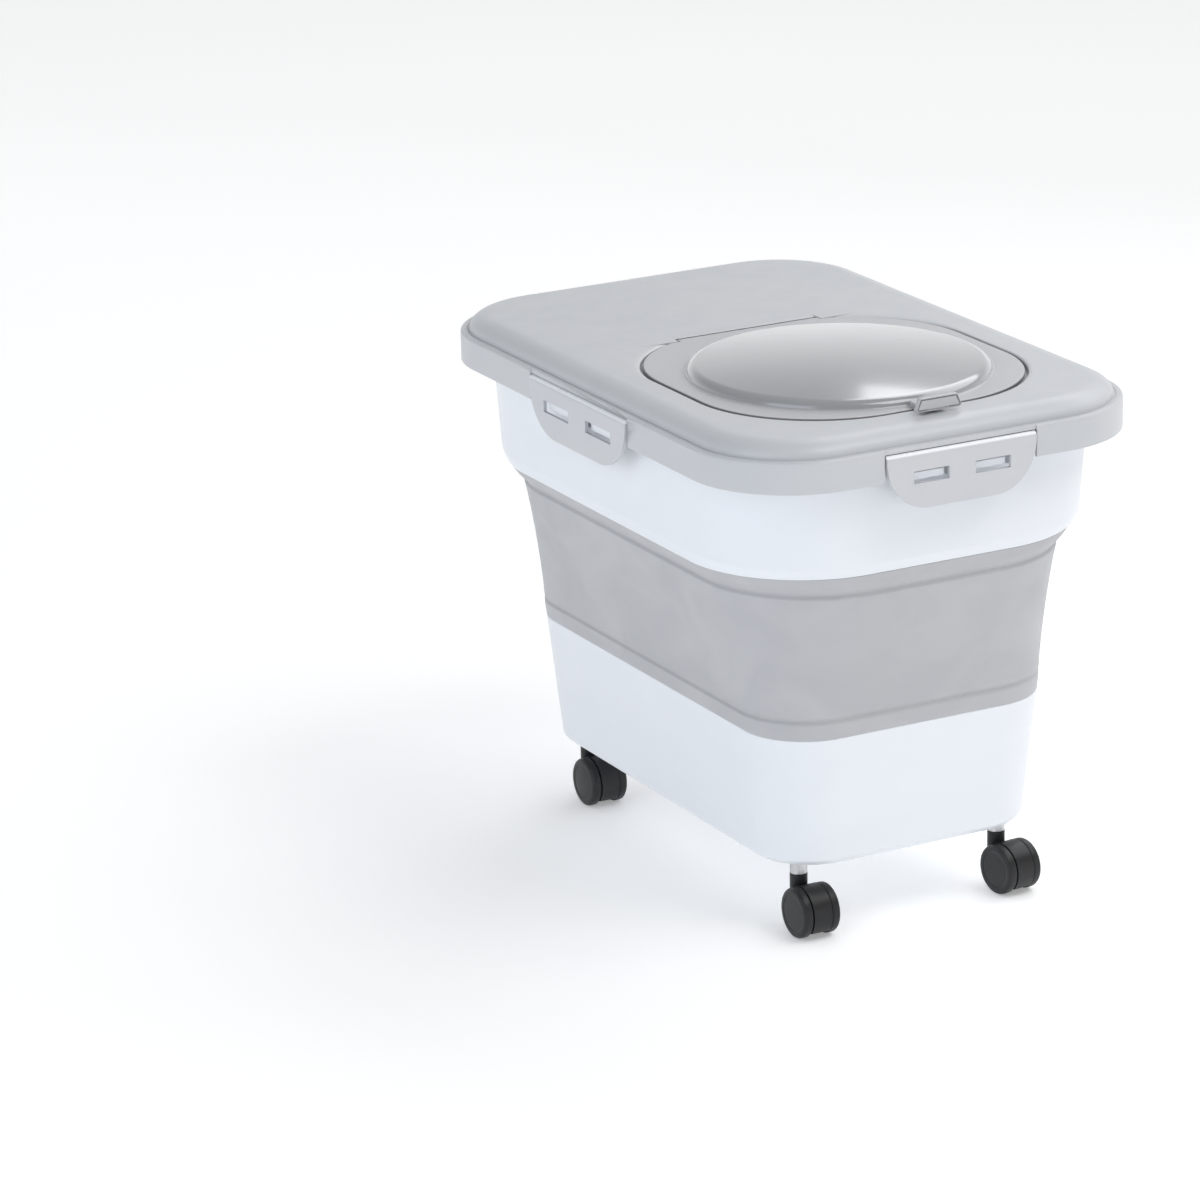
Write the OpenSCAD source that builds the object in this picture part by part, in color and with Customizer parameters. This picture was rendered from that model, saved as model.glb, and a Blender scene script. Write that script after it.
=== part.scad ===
// Folding rice bin on casters, with a latched lid and a flip lid.
// Front is -Y, the long axis is Y, the floor is Z = 0, sizes in millimetres.

/* [Lid] */
// outside width of the lid across X
lid_width = 330; // [300:1:350]
// outside length of the lid along Y
lid_length = 481; // [450:1:520]
// corner radius of the lid skirt
lid_corner_r = 76; // [70:1:84]
// height of the lid skirt from its lower edge to the shoulder
skirt_height = 22.6; // [21:0.1:26]
// rise of the crowned deck above the shoulder
crown_rise = 10.7; // [9.5:0.1:13]
// wall thickness of the lid
lid_wall = 2.6; // [2.2:0.1:3]

/* [Flip lid] */
// width of the flip lid across X
flip_width = 245; // [225:1:255]
// length of the flip lid from hinge edge to front edge
flip_length = 247; // [225:1:255]
// corner radius of the flip lid
flip_corner_r = 93; // [80:1:96]
// distance of the flip lid's middle in front of the bin's middle
flip_shift = 71; // [64:1:74]
// open seam between the flip lid and the deck
flip_seam = 1; // [0.8:0.1:1.4]
// thickness of the flip lid plate
flip_plate = 2.4; // [2:0.1:2.6]
// how far the round dome lies inside the flip lid's sides
dome_side_inset = 15.5; // [15:0.5:32]
// how far the round dome lies inside the flip lid's front edge
dome_front_inset = 8.5; // [8:0.5:14]
// height of the dome above the deck
dome_h = 11; // [8:0.5:14]
// height of the dome's steep rounded edge
dome_edge = 6.3; // [4:0.1:7]
// thickness of the dome's shell
dome_wall = 2.2; // [1.8:0.1:2.6]
// width of the upright pull tab
tab_width = 36; // [26:1:44]
// height of the pull tab above the deck
tab_height = 12; // [8:0.5:14]
// overhang of the pull tab in front of the flip lid
tab_reach = 17.3; // [12:0.1:19]
// finger gap between the deck and the pull tab
tab_gap = 2.2; // [2.1:0.1:4]
// length of the flip lid's hinge barrel
flip_barrel_length = 116; // [96:1:118]

/* [Latches] */
// width of the front and back latches
end_latch_width = 118; // [100:1:130]
// width of the left and right latches
side_latch_width = 143; // [120:1:160]
// height of a latch from its lower edge to the top of its barrel
latch_height = 39.8; // [36:0.1:44]
// thickness of a latch plate
latch_plate = 2.6; // [2.2:0.1:2.8]
// radius of the rounded lower corners of a latch
latch_corner_r = 22; // [12:1:26]
// height of the two windows in a latch
window_height = 9.5; // [8.5:0.1:10.5]
// width of a window in the front and back latches
end_window_width = 28; // [22:1:32]
// width of a window in the side latches
side_window_width = 37; // [28:1:42]

/* [Upper frame] */
// height of the white frame below the lid skirt
frame_height = 70.7; // [64:0.1:76]
// wall thickness of the frame
frame_wall = 2.4; // [2:0.1:2.8]
// how far the frame's lower edge lies inside the skirt at the sides
frame_low_side = 18; // [17:0.5:21]
// how far the frame's lower edge lies inside the skirt at the ends
frame_low_end = 24.5; // [20:0.5:26]

/* [Folding band] */
// height of the band's slanted upper lip
upper_lip_height = 15; // [12:0.5:18]
// height of the folding panel between the two creases
panel_height = 94.5; // [88:0.5:98]
// height of the band's lower lip
lower_lip_height = 14; // [12:0.5:17]
// wall thickness of the band
band_wall = 2.2; // [1.8:0.1:2.4]
// depth of the crease grooves
crease_depth = 1; // [0.6:0.1:1.2]

/* [Lower tub] */
// height of the tub
tub_height = 96.5; // [88:0.5:104]
// wall thickness of the tub
tub_wall = 2.6; // [2.4:0.1:3.2]
// thickness of the tub's floor
tub_floor = 3; // [2.5:0.1:4]
// how far the tub's top edge lies inside the skirt
tub_top_inset = 50; // [48:0.5:54]
// how far the tub's bottom edge lies inside the skirt
tub_low_inset = 57.5; // [55:0.5:62]
// corner radius of the tub
tub_corner_r = 47; // [42:0.5:52]

/* [Casters] */
// height of the tub's underside above the floor
ride_height = 51; // [49:0.5:54]
// how far a caster stem lies inside the tub's lower side edge
stem_side_inset = 26.2; // [23.5:0.1:33]
// how far a caster stem lies inside the tub's lower end edge
stem_end_inset = 26.9; // [23.5:0.1:34]
// diameter of a wheel
wheel_d = 36; // [34:0.5:38]
// width of a wheel
wheel_width = 6.8; // [5.6:0.1:7.4]
// width of a caster hood
hood_width = 14.4; // [13.4:0.1:17]
// distance from the stem's middle back to the wheel axle
caster_trail = 16.5; // [14.5:0.1:18]
// radius of the steel stem
stem_r = 4; // [3.6:0.1:4.4]
// radius of the hood's neck
neck_r = 6.3; // [6:0.1:7]
// radius of a wheel axle
axle_r = 2; // [1.6:0.1:2.3]
// turn of the front right caster about its stem
front_right_turn = 6.5; // [0:0.5:12]

/* [Hidden] */
$fa = 4;
$fs = 0.6;
fit = 0.05;
air = 0.3;
loft_fn = 64;
wafer = 0.01;

// heights of the stacked pieces
tub_z = ride_height;
tub_top_z = tub_z + tub_height;
low_crease_z = tub_top_z + lower_lip_height;
high_crease_z = low_crease_z + panel_height;
frame_z = high_crease_z + upper_lip_height;
skirt_z = frame_z + frame_height;
shoulder_z = skirt_z + skirt_height;
deck_z = shoulder_z + crown_rise;

// lid and frame rim
half_w = lid_width / 2;
half_l = lid_length / 2;
shoulder_inset = 6.4;
lip_inset = 6.8;
lip_wall = 2.2;
flange_top_z = skirt_z + 15.8;
flange_t = 2.8;
lip_low_z = skirt_z + 1.5;
seal_inset = 8.9;
seal_width = 4;
seal_z = flange_top_z + air;
seal_top_gap = 0.2;
seal_height = shoulder_z - lid_wall - seal_top_gap - seal_z;
rib_t = 1.6;
groove_gap = 0.3;

// latches
barrel_r = 3.8;
latch_proud = 1.5;
latch_axis_in = barrel_r - latch_proud;
latch_axis_z = skirt_z + 15;
latch_low_z = latch_axis_z + barrel_r - latch_height;
latch_end_gap = 1.2;
latch_pin_r = 1;
latch_boss = 6;
window_z = latch_axis_z - 13.95;
catch_height = window_height - 4;
catch_side = 2;
end_window_x = end_latch_width * 0.206;
side_window_x = side_latch_width * 0.218;

// folding band levels: half width, half length, corner radius
frame_low_w = half_w - frame_low_side;
frame_low_l = half_l - frame_low_end;
frame_low_r = 90;
frame_knee_z = frame_z + 8.2;
frame_knee_w = frame_low_w + 1;
frame_knee_l = frame_low_l + 3.5;
frame_knee_r = 86;
frame_top_w = half_w - 15.5;
frame_top_l = half_l - 18;
frame_top_r = 79;
tongue_wall = 1.6;
tongue_height = 12;
tongue_drop = 3;
high_crease_inset = 30.2;
high_crease_r = 86;
low_crease_inset = 47.7;
low_crease_r = 54;
crease_half = 1.5;
tub_top_r = tub_corner_r + 1;
upstand_wall = 1.6;
upstand_height = 10;

// flip lid
flip_y = -flip_shift;
flip_back_y = flip_y + flip_length / 2;
flip_front_y = flip_y - flip_length / 2;
flip_barrel_r = 3;
flip_axis_y = flip_back_y - flip_barrel_r - 0.1;
flip_axis_z = deck_z - flip_barrel_r;
flip_pin_r = 1.2;
flip_pin_end = 5;
hinge_gap = 0.4;
hinge_block_y = flip_axis_y - flip_barrel_r - hinge_gap;
hinge_ear_gap = 1.6;
recess_z = deck_z - 4.2;
pan_t = 2.4;
mouth_inset = 10;
collar_t = 2;
collar_depth = 6;
plug_gap = 1.5;
plug_wall = 2;
plug_depth = 6;
dome_r = min(flip_width, flip_length) / 2 - dome_side_inset;
dome_y = flip_front_y + dome_front_inset + dome_r;
dome_round = 6.5;
dome_crown_r = dome_r - dome_round;
dome_hollow_r = dome_crown_r - 0.5;
tab_t = 4;
tab_foot = 2;
tab_back = 7.5;
tab_neck = 5;
tab_draft = 2.2;

// casters
stem_x = half_w - tub_low_inset - stem_side_inset;
stem_y = half_l - tub_low_inset - stem_end_inset;
wheel_r = wheel_d / 2;
hood_r = wheel_r + 0.2;
wheel_gap = 0.5;
neck_top_z = tub_z - 10.3;
flange_r = neck_r - 0.1;
socket_r = 6;
socket_length = 20;
stem_low_z = wheel_r + 9.5;
boss_r = 9;
axle_reach = 4.6;

// ---------- shared shapes ----------

// flat rounded rectangle from two bars and four discs, given its half width and half length
module round_rect(w, l, r) {
    square([2 * w, 2 * (l - r)], center = true);
    square([2 * (w - r), 2 * l], center = true);
    for (sx = [-1, 1]) {
        for (sy = [-1, 1]) {
            translate([sx * (w - r), sy * (l - r)])
                circle(r);
        }
    }
}

// slab that follows the lid's outline, set in from it
module lid_slab(inset, z0, z1) {
    translate([0, 0, z0])
        linear_extrude(z1 - z0)
            round_rect(half_w - inset, half_l - inset, lid_corner_r - inset);
}

// ring that follows the lid's outline between two insets
module lid_ring(outer, inner, z0, z1) {
    difference() {
        lid_slab(outer, z0, z1);
        lid_slab(inner, z0 - 1, z1 + 1);
    }
}

// tapered block that follows the lid's outline from one inset to another
module lid_taper(low, high, z0, z1) {
    cx = half_w - lid_corner_r;
    cy = half_l - lid_corner_r;
    for (sx = [-1, 1]) {
        for (sy = [-1, 1]) {
            translate([sx * cx, sy * cy, z0])
                cylinder(h = z1 - z0, r1 = lid_corner_r - low, r2 = lid_corner_r - high);
        }
    }
    rotate([90, 0, 0])
        translate([0, 0, -cy])
            linear_extrude(2 * cy)
                polygon([[-half_w + low, z0], [half_w - low, z0], [half_w - high, z1],
                    [-half_w + high, z1]]);
    rotate([90, 0, 90])
        translate([0, 0, -cx])
            linear_extrude(2 * cx)
                polygon([[-half_l + low, z0], [half_l - low, z0], [half_l - high, z1],
                    [-half_l + high, z1]]);
}

// straight-sided loft between two rounded rectangles
module loft(a, za, b, zb) {
    hull() {
        translate([0, 0, za])
            linear_extrude(wafer)
                round_rect(a[0], a[1], a[2], $fn = loft_fn);
        translate([0, 0, zb - wafer])
            linear_extrude(wafer)
                round_rect(b[0], b[1], b[2], $fn = loft_fn);
    }
}

// one level set in by a distance
function shrink(a, d) = [a[0] - d, a[1] - d, a[2] - d];

// levels of the folding walls
function tub_low_level() = [half_w - tub_low_inset, half_l - tub_low_inset, tub_corner_r];
function tub_top_level() = [half_w - tub_top_inset, half_l - tub_top_inset, tub_top_r];
function low_crease_level() = [half_w - low_crease_inset, half_l - low_crease_inset, low_crease_r];
function high_crease_level() = [half_w - high_crease_inset, half_l - high_crease_inset,
    high_crease_r];
function frame_low_level() = [frame_low_w, frame_low_l, frame_low_r];
function frame_knee_level() = [frame_knee_w, frame_knee_l, frame_knee_r];
function frame_top_level() = [frame_top_w, frame_top_l, frame_top_r];

// level of the frame's lower slope at a height
function frame_slope_level(z) = frame_low_level()
    + (frame_knee_level() - frame_low_level()) * (z - frame_z) / (frame_knee_z - frame_z);

// places a latch: side 0 front, 1 right, 2 back, 3 left
module at_side(side) {
    reach = side % 2 == 0 ? half_l : half_w;
    rotate([0, 0, side * 90])
        translate([0, -reach, 0])
            children();
}

function latch_width(side) = side % 2 == 0 ? end_latch_width : side_latch_width;
function window_x(side) = side % 2 == 0 ? end_window_x : side_window_x;
function window_width(side) = side % 2 == 0 ? end_window_width : side_window_width;

// rod along X
module rod_x(length, r) {
    rotate([0, 90, 0])
        cylinder(h = length, r = r, center = true);
}

// ---------- lower tub ----------

module lower_tub() {
    low = tub_low_level();
    top = tub_top_level();
    color([0.92, 0.93, 0.95])
        difference() {
            union() {
                loft(shrink(low, 6), tub_z, shrink(low, 2), tub_z + 2);
                loft(shrink(low, 2), tub_z + 2, low, tub_z + 7);
                loft(low, tub_z + 7, top, tub_top_z);
                loft(shrink(top, band_wall + air), tub_top_z - 2,
                    shrink(top, band_wall + air - 0.6), tub_top_z + upstand_height);
            }
            difference() {
                loft(shrink(low, tub_wall), tub_z + tub_floor,
                    shrink(top, band_wall + air + upstand_wall - 0.6),
                    tub_top_z + upstand_height + 1);
                caster_posts();
            }
            caster_post_bores();
        }
}

// thick posts on the tub's floor that hold the caster sockets
module caster_posts() {
    for (sx = [-1, 1]) {
        for (sy = [-1, 1]) {
            translate([sx * stem_x, sy * stem_y, tub_z])
                cylinder(h = socket_length + 4, r = boss_r);
        }
    }
}

module caster_post_bores() {
    for (sx = [-1, 1]) {
        for (sy = [-1, 1]) {
            translate([sx * stem_x, sy * stem_y, tub_z - 1])
                cylinder(h = socket_length + 1.5, r = socket_r + fit);
        }
    }
}

// ---------- folding band ----------

module fold_band() {
    color([0.72, 0.74, 0.78])
        difference() {
            band_outside();
            band_inside();
        }
}

module band_outside() {
    tub_top = tub_top_level();
    low = low_crease_level();
    low_groove = shrink(low, crease_depth);
    high = high_crease_level();
    high_groove = shrink(high, crease_depth);
    loft(tub_top, tub_top_z, low, low_crease_z - crease_half);
    loft(low, low_crease_z - crease_half, low_groove, low_crease_z);
    loft(low_groove, low_crease_z, low, low_crease_z + crease_half);
    loft(low, low_crease_z + crease_half, high, high_crease_z - crease_half);
    loft(high, high_crease_z - crease_half, high_groove, high_crease_z);
    loft(high_groove, high_crease_z, high, high_crease_z + crease_half);
    loft(high, high_crease_z + crease_half, frame_low_level(), frame_z);
    band_tongue(frame_wall + air, frame_z - tongue_drop, frame_z + tongue_height);
}

// block inside the frame's lower edge, which follows the frame wall at a distance
module band_tongue(d, z0, z1) {
    knee = shrink(frame_knee_level(), d);
    loft(shrink(frame_slope_level(z0), d), z0, knee, frame_knee_z);
    loft(knee, frame_knee_z, knee, z1);
}

// hollow of the band, from the tub's edge to the top of the tongue
module band_inside() {
    low = shrink(low_crease_level(), band_wall);
    high = shrink(high_crease_level(), band_wall);
    tongue = frame_wall + air + tongue_wall;
    loft(shrink(tub_top_level(), band_wall), tub_top_z - 1, low, low_crease_z);
    loft(low, low_crease_z, high, high_crease_z);
    loft(high, high_crease_z, shrink(frame_slope_level(frame_z - 1), tongue), frame_z - 1);
    band_tongue(tongue, frame_z - 1, frame_z + tongue_height + 1);
}

// ---------- upper frame ----------

module upper_frame() {
    color([0.93, 0.94, 0.96])
        union() {
            frame_wall_shell();
            frame_rim();
            for (side = [0:3]) {
                at_side(side)
                    catch_pad(side);
            }
        }
}

// solid of the frame from its lower edge to the flange, set in by a distance
module frame_block(d) {
    over = d > 0 ? 1 : 0;
    low = shrink(frame_slope_level(frame_z - over), d);
    knee = shrink(frame_knee_level(), d);
    loft(low, frame_z - over, knee, frame_knee_z);
    loft(knee, frame_knee_z, shrink(frame_top_level(), d), flange_top_z + over);
}

module frame_wall_shell() {
    difference() {
        frame_block(0);
        frame_block(frame_wall);
    }
}

// flange on top of the frame wall, with a turned-down lip under the skirt
module frame_rim() {
    difference() {
        union() {
            lid_slab(lip_inset, flange_top_z - flange_t, flange_top_z);
            lid_ring(lip_inset, lip_inset + lip_wall, lip_low_z, flange_top_z);
        }
        loft(shrink(frame_top_level(), 1), lip_low_z - 1, shrink(frame_top_level(), 1),
            flange_top_z + 1);
    }
}

// pad behind a latch, with the two catches that fill the latch windows
module catch_pad(side) {
    wide = 2 * window_x(side) + window_width(side) + 8;
    translate([-wide / 2, lip_inset, window_z - window_height / 2 + 0.5])
        cube([wide, lip_wall, flange_top_z - window_z + window_height / 2 - 0.5]);
    for (s = [-1, 1]) {
        translate([s * window_x(side) - window_width(side) / 2 + catch_side,
            latch_plate - latch_proud + air, window_z - catch_height / 2])
            cube([window_width(side) - 2 * catch_side,
                lip_inset + 0.5 - latch_plate + latch_proud - air, catch_height]);
    }
}

// ---------- main lid ----------

module main_lid() {
    color([0.80, 0.82, 0.84])
        difference() {
            union() {
                difference() {
                    lid_outside();
                    lid_inside();
                }
                seal_groove_ribs();
                flip_pan();
                for (side = [0:3]) {
                    at_side(side)
                        latch_bosses(side);
                }
            }
            flip_recess();
            for (side = [0:3]) {
                at_side(side)
                    latch_notch(side);
            }
            translate([0, flip_axis_y, flip_axis_z])
                rod_x(flip_barrel_length + 2 * flip_pin_end, flip_pin_r + fit);
        }
}

module lid_outside() {
    lid_slab(0, skirt_z, shoulder_z - 2.4);
    lid_taper(0, 2.4, shoulder_z - 2.4, shoulder_z);
    lid_taper(shoulder_inset, shoulder_inset + 2.1, shoulder_z - 0.1, shoulder_z + crown_rise * 0.49);
    lid_taper(shoulder_inset + 2.1, shoulder_inset + 6.6, shoulder_z + crown_rise * 0.49,
        shoulder_z + crown_rise * 0.82);
    lid_taper(shoulder_inset + 6.6, shoulder_inset + 17.6, shoulder_z + crown_rise * 0.82, deck_z);
}

module lid_inside() {
    lid_slab(lid_wall, skirt_z - 1, shoulder_z - lid_wall);
    lid_taper(shoulder_inset + lid_wall, shoulder_inset + lid_wall + 2.1,
        shoulder_z - lid_wall - 0.1, shoulder_z + crown_rise * 0.49 - lid_wall / 2);
    lid_taper(shoulder_inset + lid_wall + 2.1, shoulder_inset + lid_wall + 6.1,
        shoulder_z + crown_rise * 0.49 - lid_wall / 2, shoulder_z + crown_rise * 0.82 - lid_wall);
    lid_taper(shoulder_inset + lid_wall + 6.1, shoulder_inset + 17.6,
        shoulder_z + crown_rise * 0.82 - lid_wall, deck_z - lid_wall);
}

// two ribs and a web that hold the lid seal
module seal_groove_ribs() {
    rib_low_z = flange_top_z + 0.8;
    web_z = seal_z + seal_height + 0.1;
    lid_ring(seal_inset - groove_gap - rib_t, seal_inset - groove_gap, rib_low_z, web_z + 2);
    lid_ring(seal_inset + seal_width + groove_gap, seal_inset + seal_width + groove_gap + rib_t,
        rib_low_z, web_z + 2);
    lid_ring(seal_inset - groove_gap - rib_t, seal_inset + seal_width + groove_gap + rib_t, web_z,
        web_z + 2);
}

// flat outline of the flip lid, grown by a distance
module flip_outline(grow) {
    translate([0, flip_y])
        round_rect(flip_width / 2 + grow, flip_length / 2 + grow, flip_corner_r + grow);
}

// sunk pan under the flip lid, with the collar round its mouth and the hinge trough
module flip_pan() {
    difference() {
        union() {
            translate([0, 0, recess_z - pan_t])
                linear_extrude(deck_z - lid_wall / 2 - recess_z + pan_t)
                    flip_outline(flip_seam + lid_wall);
            translate([0, 0, recess_z - collar_depth])
                linear_extrude(collar_depth)
                    flip_outline(-mouth_inset + collar_t);
            translate([-flip_barrel_length / 2 - 8, flip_axis_y - 6, flip_axis_z - 5.8])
                cube([flip_barrel_length + 16, 12, 8]);
        }
        translate([0, 0, recess_z - collar_depth - 1])
            linear_extrude(collar_depth + 20)
                flip_outline(-mouth_inset);
    }
}

// what the flip lid and its barrel need cut out of the deck
module flip_recess() {
    chamfer = 2.6;
    reach = flip_barrel_r + hinge_gap;
    difference() {
        translate([0, 0, recess_z])
            linear_extrude(10)
                flip_outline(flip_seam);
        for (s = [-1, 1]) {
            translate([s * (flip_barrel_length / 2 + 0.4 + 5), hinge_block_y + 7, recess_z])
                cube([10, 14, 20], center = true);
        }
    }
    translate([0, flip_axis_y, flip_axis_z])
        rod_x(flip_barrel_length + 0.8, reach);
    translate([-flip_barrel_length / 2 - 0.4, flip_axis_y - 4, flip_axis_z])
        cube([flip_barrel_length + 0.8, 4 + reach, 10]);
    translate([-flip_barrel_length / 2 - 0.4, flip_axis_y + reach, deck_z])
        rotate([90, 0, 90])
            linear_extrude(flip_barrel_length + 0.8)
                polygon([[-1, -chamfer], [0, -chamfer], [chamfer, 0], [chamfer, 1], [-1, 1]]);
}

// blocks behind the skirt at both ends of a latch, for its pin
module latch_bosses(side) {
    half = latch_width(side) / 2 + latch_end_gap;
    for (s = [-1, 1]) {
        translate([s > 0 ? half : -half - latch_boss, lid_wall - 0.5, latch_axis_z - 4])
            cube([latch_boss, 2.9, shoulder_z - lid_wall - latch_axis_z + 4.5]);
    }
}

// notch in the skirt for a latch, and the bore for its pin
module latch_notch(side) {
    half = latch_width(side) / 2 + latch_end_gap;
    translate([-half, -3, skirt_z - 1])
        cube([2 * half, 9, latch_axis_z - skirt_z + 1]);
    translate([0, latch_axis_in, latch_axis_z])
        rod_x(2 * half, barrel_r + 0.4);
    translate([-half, -3, skirt_z - 1])
        cube([2 * half, 3 + 1.5, 40]);
    translate([0, latch_axis_in, latch_axis_z])
        rod_x(2 * half + 2 * latch_boss - 1, latch_pin_r + fit);
}

// ---------- seals ----------

module lid_seal() {
    color([0.55, 0.57, 0.60])
        lid_ring(seal_inset, seal_inset + seal_width, seal_z, seal_z + seal_height);
}

module flip_seal() {
    seal_low_z = recess_z + 0.2;
    seal_top_z = deck_z - flip_plate - 0.1;
    color([0.55, 0.57, 0.60])
        translate([0, 0, seal_low_z])
            linear_extrude(seal_top_z - seal_low_z)
                difference() {
                    flip_outline(-mouth_inset + 3.2);
                    flip_outline(-mouth_inset - 0.3);
                }
}

// ---------- flip lid ----------

module flip_lid() {
    color([0.84, 0.86, 0.88])
        difference() {
            union() {
                flip_plate_body();
                flip_dome();
                flip_barrel();
                flip_plug();
            }
            flip_dome_hollow();
            translate([0, flip_axis_y, flip_axis_z])
                rod_x(flip_barrel_length + 2, flip_pin_r + fit);
        }
}

module flip_plate_body() {
    ear_y = hinge_block_y - hinge_ear_gap;
    difference() {
        translate([0, 0, deck_z - flip_plate])
            linear_extrude(flip_plate)
                flip_outline(0);
        translate([-flip_width, flip_axis_y, deck_z - 10])
            cube([2 * flip_width, 20, 20]);
        for (s = [-1, 1]) {
            translate([s * (flip_barrel_length / 2 + 20), ear_y + 10, deck_z])
                cube([40, 20, 20], center = true);
        }
    }
}

// barrel that the hinge pin runs through
module flip_barrel() {
    translate([0, flip_axis_y, flip_axis_z])
        rod_x(flip_barrel_length, flip_barrel_r);
}

// height of the dome's shallow crown at a radius
function crown_z(r) = dome_edge + (dome_h - dome_edge) * (1 - pow(r / dome_crown_r, 2));

// dome as a revolved profile: shallow crown, then a steep rounded edge
module flip_dome() {
    steps = 10;
    first = 80;
    edge_scale = dome_round / (1 - cos(first));
    translate([0, dome_y, deck_z - 0.5])
        rotate_extrude()
            polygon(concat(
                [[0, 0], [dome_r, 0]],
                [for (i = [0:steps]) let (a = first * i / steps)
                    [dome_crown_r + edge_scale * (cos(a) - cos(first)),
                        0.5 + dome_edge * sin(a) / sin(first)]],
                [for (i = [steps - 1:-1:0]) [dome_crown_r * i / steps,
                    0.5 + crown_z(dome_crown_r * i / steps)]]));
}

// hollow under the dome
module flip_dome_hollow() {
    steps = 10;
    low = flip_plate + 1;
    translate([0, dome_y, deck_z - low])
        rotate_extrude()
            polygon(concat(
                [[0, 0], [dome_hollow_r, 0], [dome_hollow_r, low]],
                [for (i = [steps:-1:0]) let (r = (dome_hollow_r - 1.5) * i / steps)
                    [r, low + crown_z(r) - dome_wall]]));
}

// short wall that drops into the mouth
module flip_plug() {
    plug_top_z = deck_z - flip_plate + 0.5;
    plug_low_z = deck_z - flip_plate - plug_depth;
    translate([0, 0, plug_low_z])
        linear_extrude(plug_top_z - plug_low_z)
            difference() {
                flip_outline(-mouth_inset - plug_gap);
                flip_outline(-mouth_inset - plug_gap - plug_wall);
            }
}

// upright pull tab on a thin foot that reaches over the seam, standing on the flip lid
module flip_tab() {
    foot_z = deck_z + tab_gap;
    face_height = tab_height - tab_gap;
    color([0.82, 0.84, 0.86])
        union() {
            translate([-tab_width / 2, flip_front_y - tab_reach, foot_z])
                cube([tab_width, tab_reach + tab_back, tab_foot]);
            translate([-tab_width / 2 + 1, flip_front_y + 2, deck_z])
                cube([tab_width - 2, tab_neck, tab_gap + tab_foot]);
            translate([0, flip_front_y - tab_reach + tab_t, foot_z])
                rotate([90, 0, 0])
                    linear_extrude(tab_t)
                        polygon([[-tab_width / 2, 0], [tab_width / 2, 0],
                            [tab_width / 2 - tab_draft, face_height],
                            [-tab_width / 2 + tab_draft, face_height]]);
        }
}

module flip_hinge_pin() {
    color([0.70, 0.71, 0.73])
        translate([0, flip_axis_y, flip_axis_z])
            rod_x(flip_barrel_length + 2 * flip_pin_end - 1, flip_pin_r);
}

// ---------- latches ----------

module latch(side) {
    wide = latch_width(side);
    color([0.79, 0.81, 0.84])
        at_side(side)
            difference() {
                union() {
                    translate([0, latch_plate - latch_proud, 0])
                        rotate([90, 0, 0])
                            linear_extrude(latch_plate)
                                latch_face(wide);
                    translate([0, latch_axis_in, latch_axis_z])
                        rod_x(wide, barrel_r);
                }
                for (s = [-1, 1]) {
                    translate([s * window_x(side), 0, window_z])
                        cube([window_width(side), 12, window_height], center = true);
                }
                translate([0, latch_axis_in, latch_axis_z])
                    rod_x(wide + 2, latch_pin_r + fit);
            }
}

// flat outline of a latch plate with rounded lower corners
module latch_face(wide) {
    flat = wide / 2 - latch_corner_r;
    translate([-wide / 2, latch_low_z + latch_corner_r])
        square([wide, latch_axis_z - latch_low_z - latch_corner_r]);
    translate([-flat, latch_low_z])
        square([2 * flat, latch_corner_r + 1]);
    for (s = [-1, 1]) {
        translate([s * flat, latch_low_z + latch_corner_r])
            intersection() {
                circle(latch_corner_r);
                translate([-latch_corner_r, -latch_corner_r])
                    square([2 * latch_corner_r, latch_corner_r + 0.5]);
            }
    }
}

module latch_pin(side) {
    color([0.70, 0.71, 0.73])
        at_side(side)
            translate([0, latch_axis_in, latch_axis_z])
                rod_x(latch_width(side) + 2 * latch_end_gap + 2 * latch_boss - 2, latch_pin_r);
}

module latch_front() { latch(0); }
module latch_right() { latch(1); }
module latch_back() { latch(2); }
module latch_left() { latch(3); }
module latch_pin_front() { latch_pin(0); }
module latch_pin_right() { latch_pin(1); }
module latch_pin_back() { latch_pin(2); }
module latch_pin_left() { latch_pin(3); }

// ---------- casters ----------

// places a caster at its stem, turned about it
module at_caster(sx, sy, turn) {
    translate([sx * stem_x, sy * stem_y, 0])
        rotate([0, 0, turn])
            children();
}

module caster_socket() {
    color([0.16, 0.16, 0.17])
        translate([0, 0, tub_z])
            difference() {
                cylinder(h = socket_length, r = socket_r);
                translate([0, 0, -1])
                    cylinder(h = socket_length + 2, r = stem_r + fit);
            }
}

module caster_stem() {
    color([0.62, 0.63, 0.65])
        union() {
            translate([0, 0, stem_low_z])
                cylinder(h = tub_z + socket_length - 1 - stem_low_z, r = stem_r);
            translate([0, 0, neck_top_z + air])
                cylinder(h = tub_z - air - neck_top_z - air, r = flange_r);
        }
}

module caster_hood() {
    color([0.13, 0.13, 0.14])
        difference() {
            union() {
                translate([0, -caster_trail, wheel_r])
                    rod_x(hood_width, hood_r);
                translate([0, 0, wheel_r - 4])
                    cylinder(h = neck_top_z - wheel_r + 4, r = neck_r);
                translate([-neck_r, -caster_trail, wheel_r - 4])
                    cube([2 * neck_r, caster_trail, 17]);
            }
            translate([-hood_width, -caster_trail - 2 * hood_r, -1])
                cube([2 * hood_width, 4 * hood_r, 6.5]);
            translate([-hood_width / 2 + 2.4, -caster_trail - 11, 0])
                cube([hood_width - 4.8, 22, wheel_r - axle_r - 4]);
            translate([0, 0, stem_low_z - 0.3])
                cylinder(h = neck_top_z - stem_low_z + 2, r = stem_r + fit);
            translate([0, -caster_trail, wheel_r])
                rod_x(hood_width + 2, axle_r + fit);
        }
}

module wheel_axle() {
    color([0.62, 0.63, 0.65])
        translate([0, -caster_trail, wheel_r])
            rod_x(hood_width + 2 * wheel_gap + 2 * axle_reach, axle_r);
}

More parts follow.
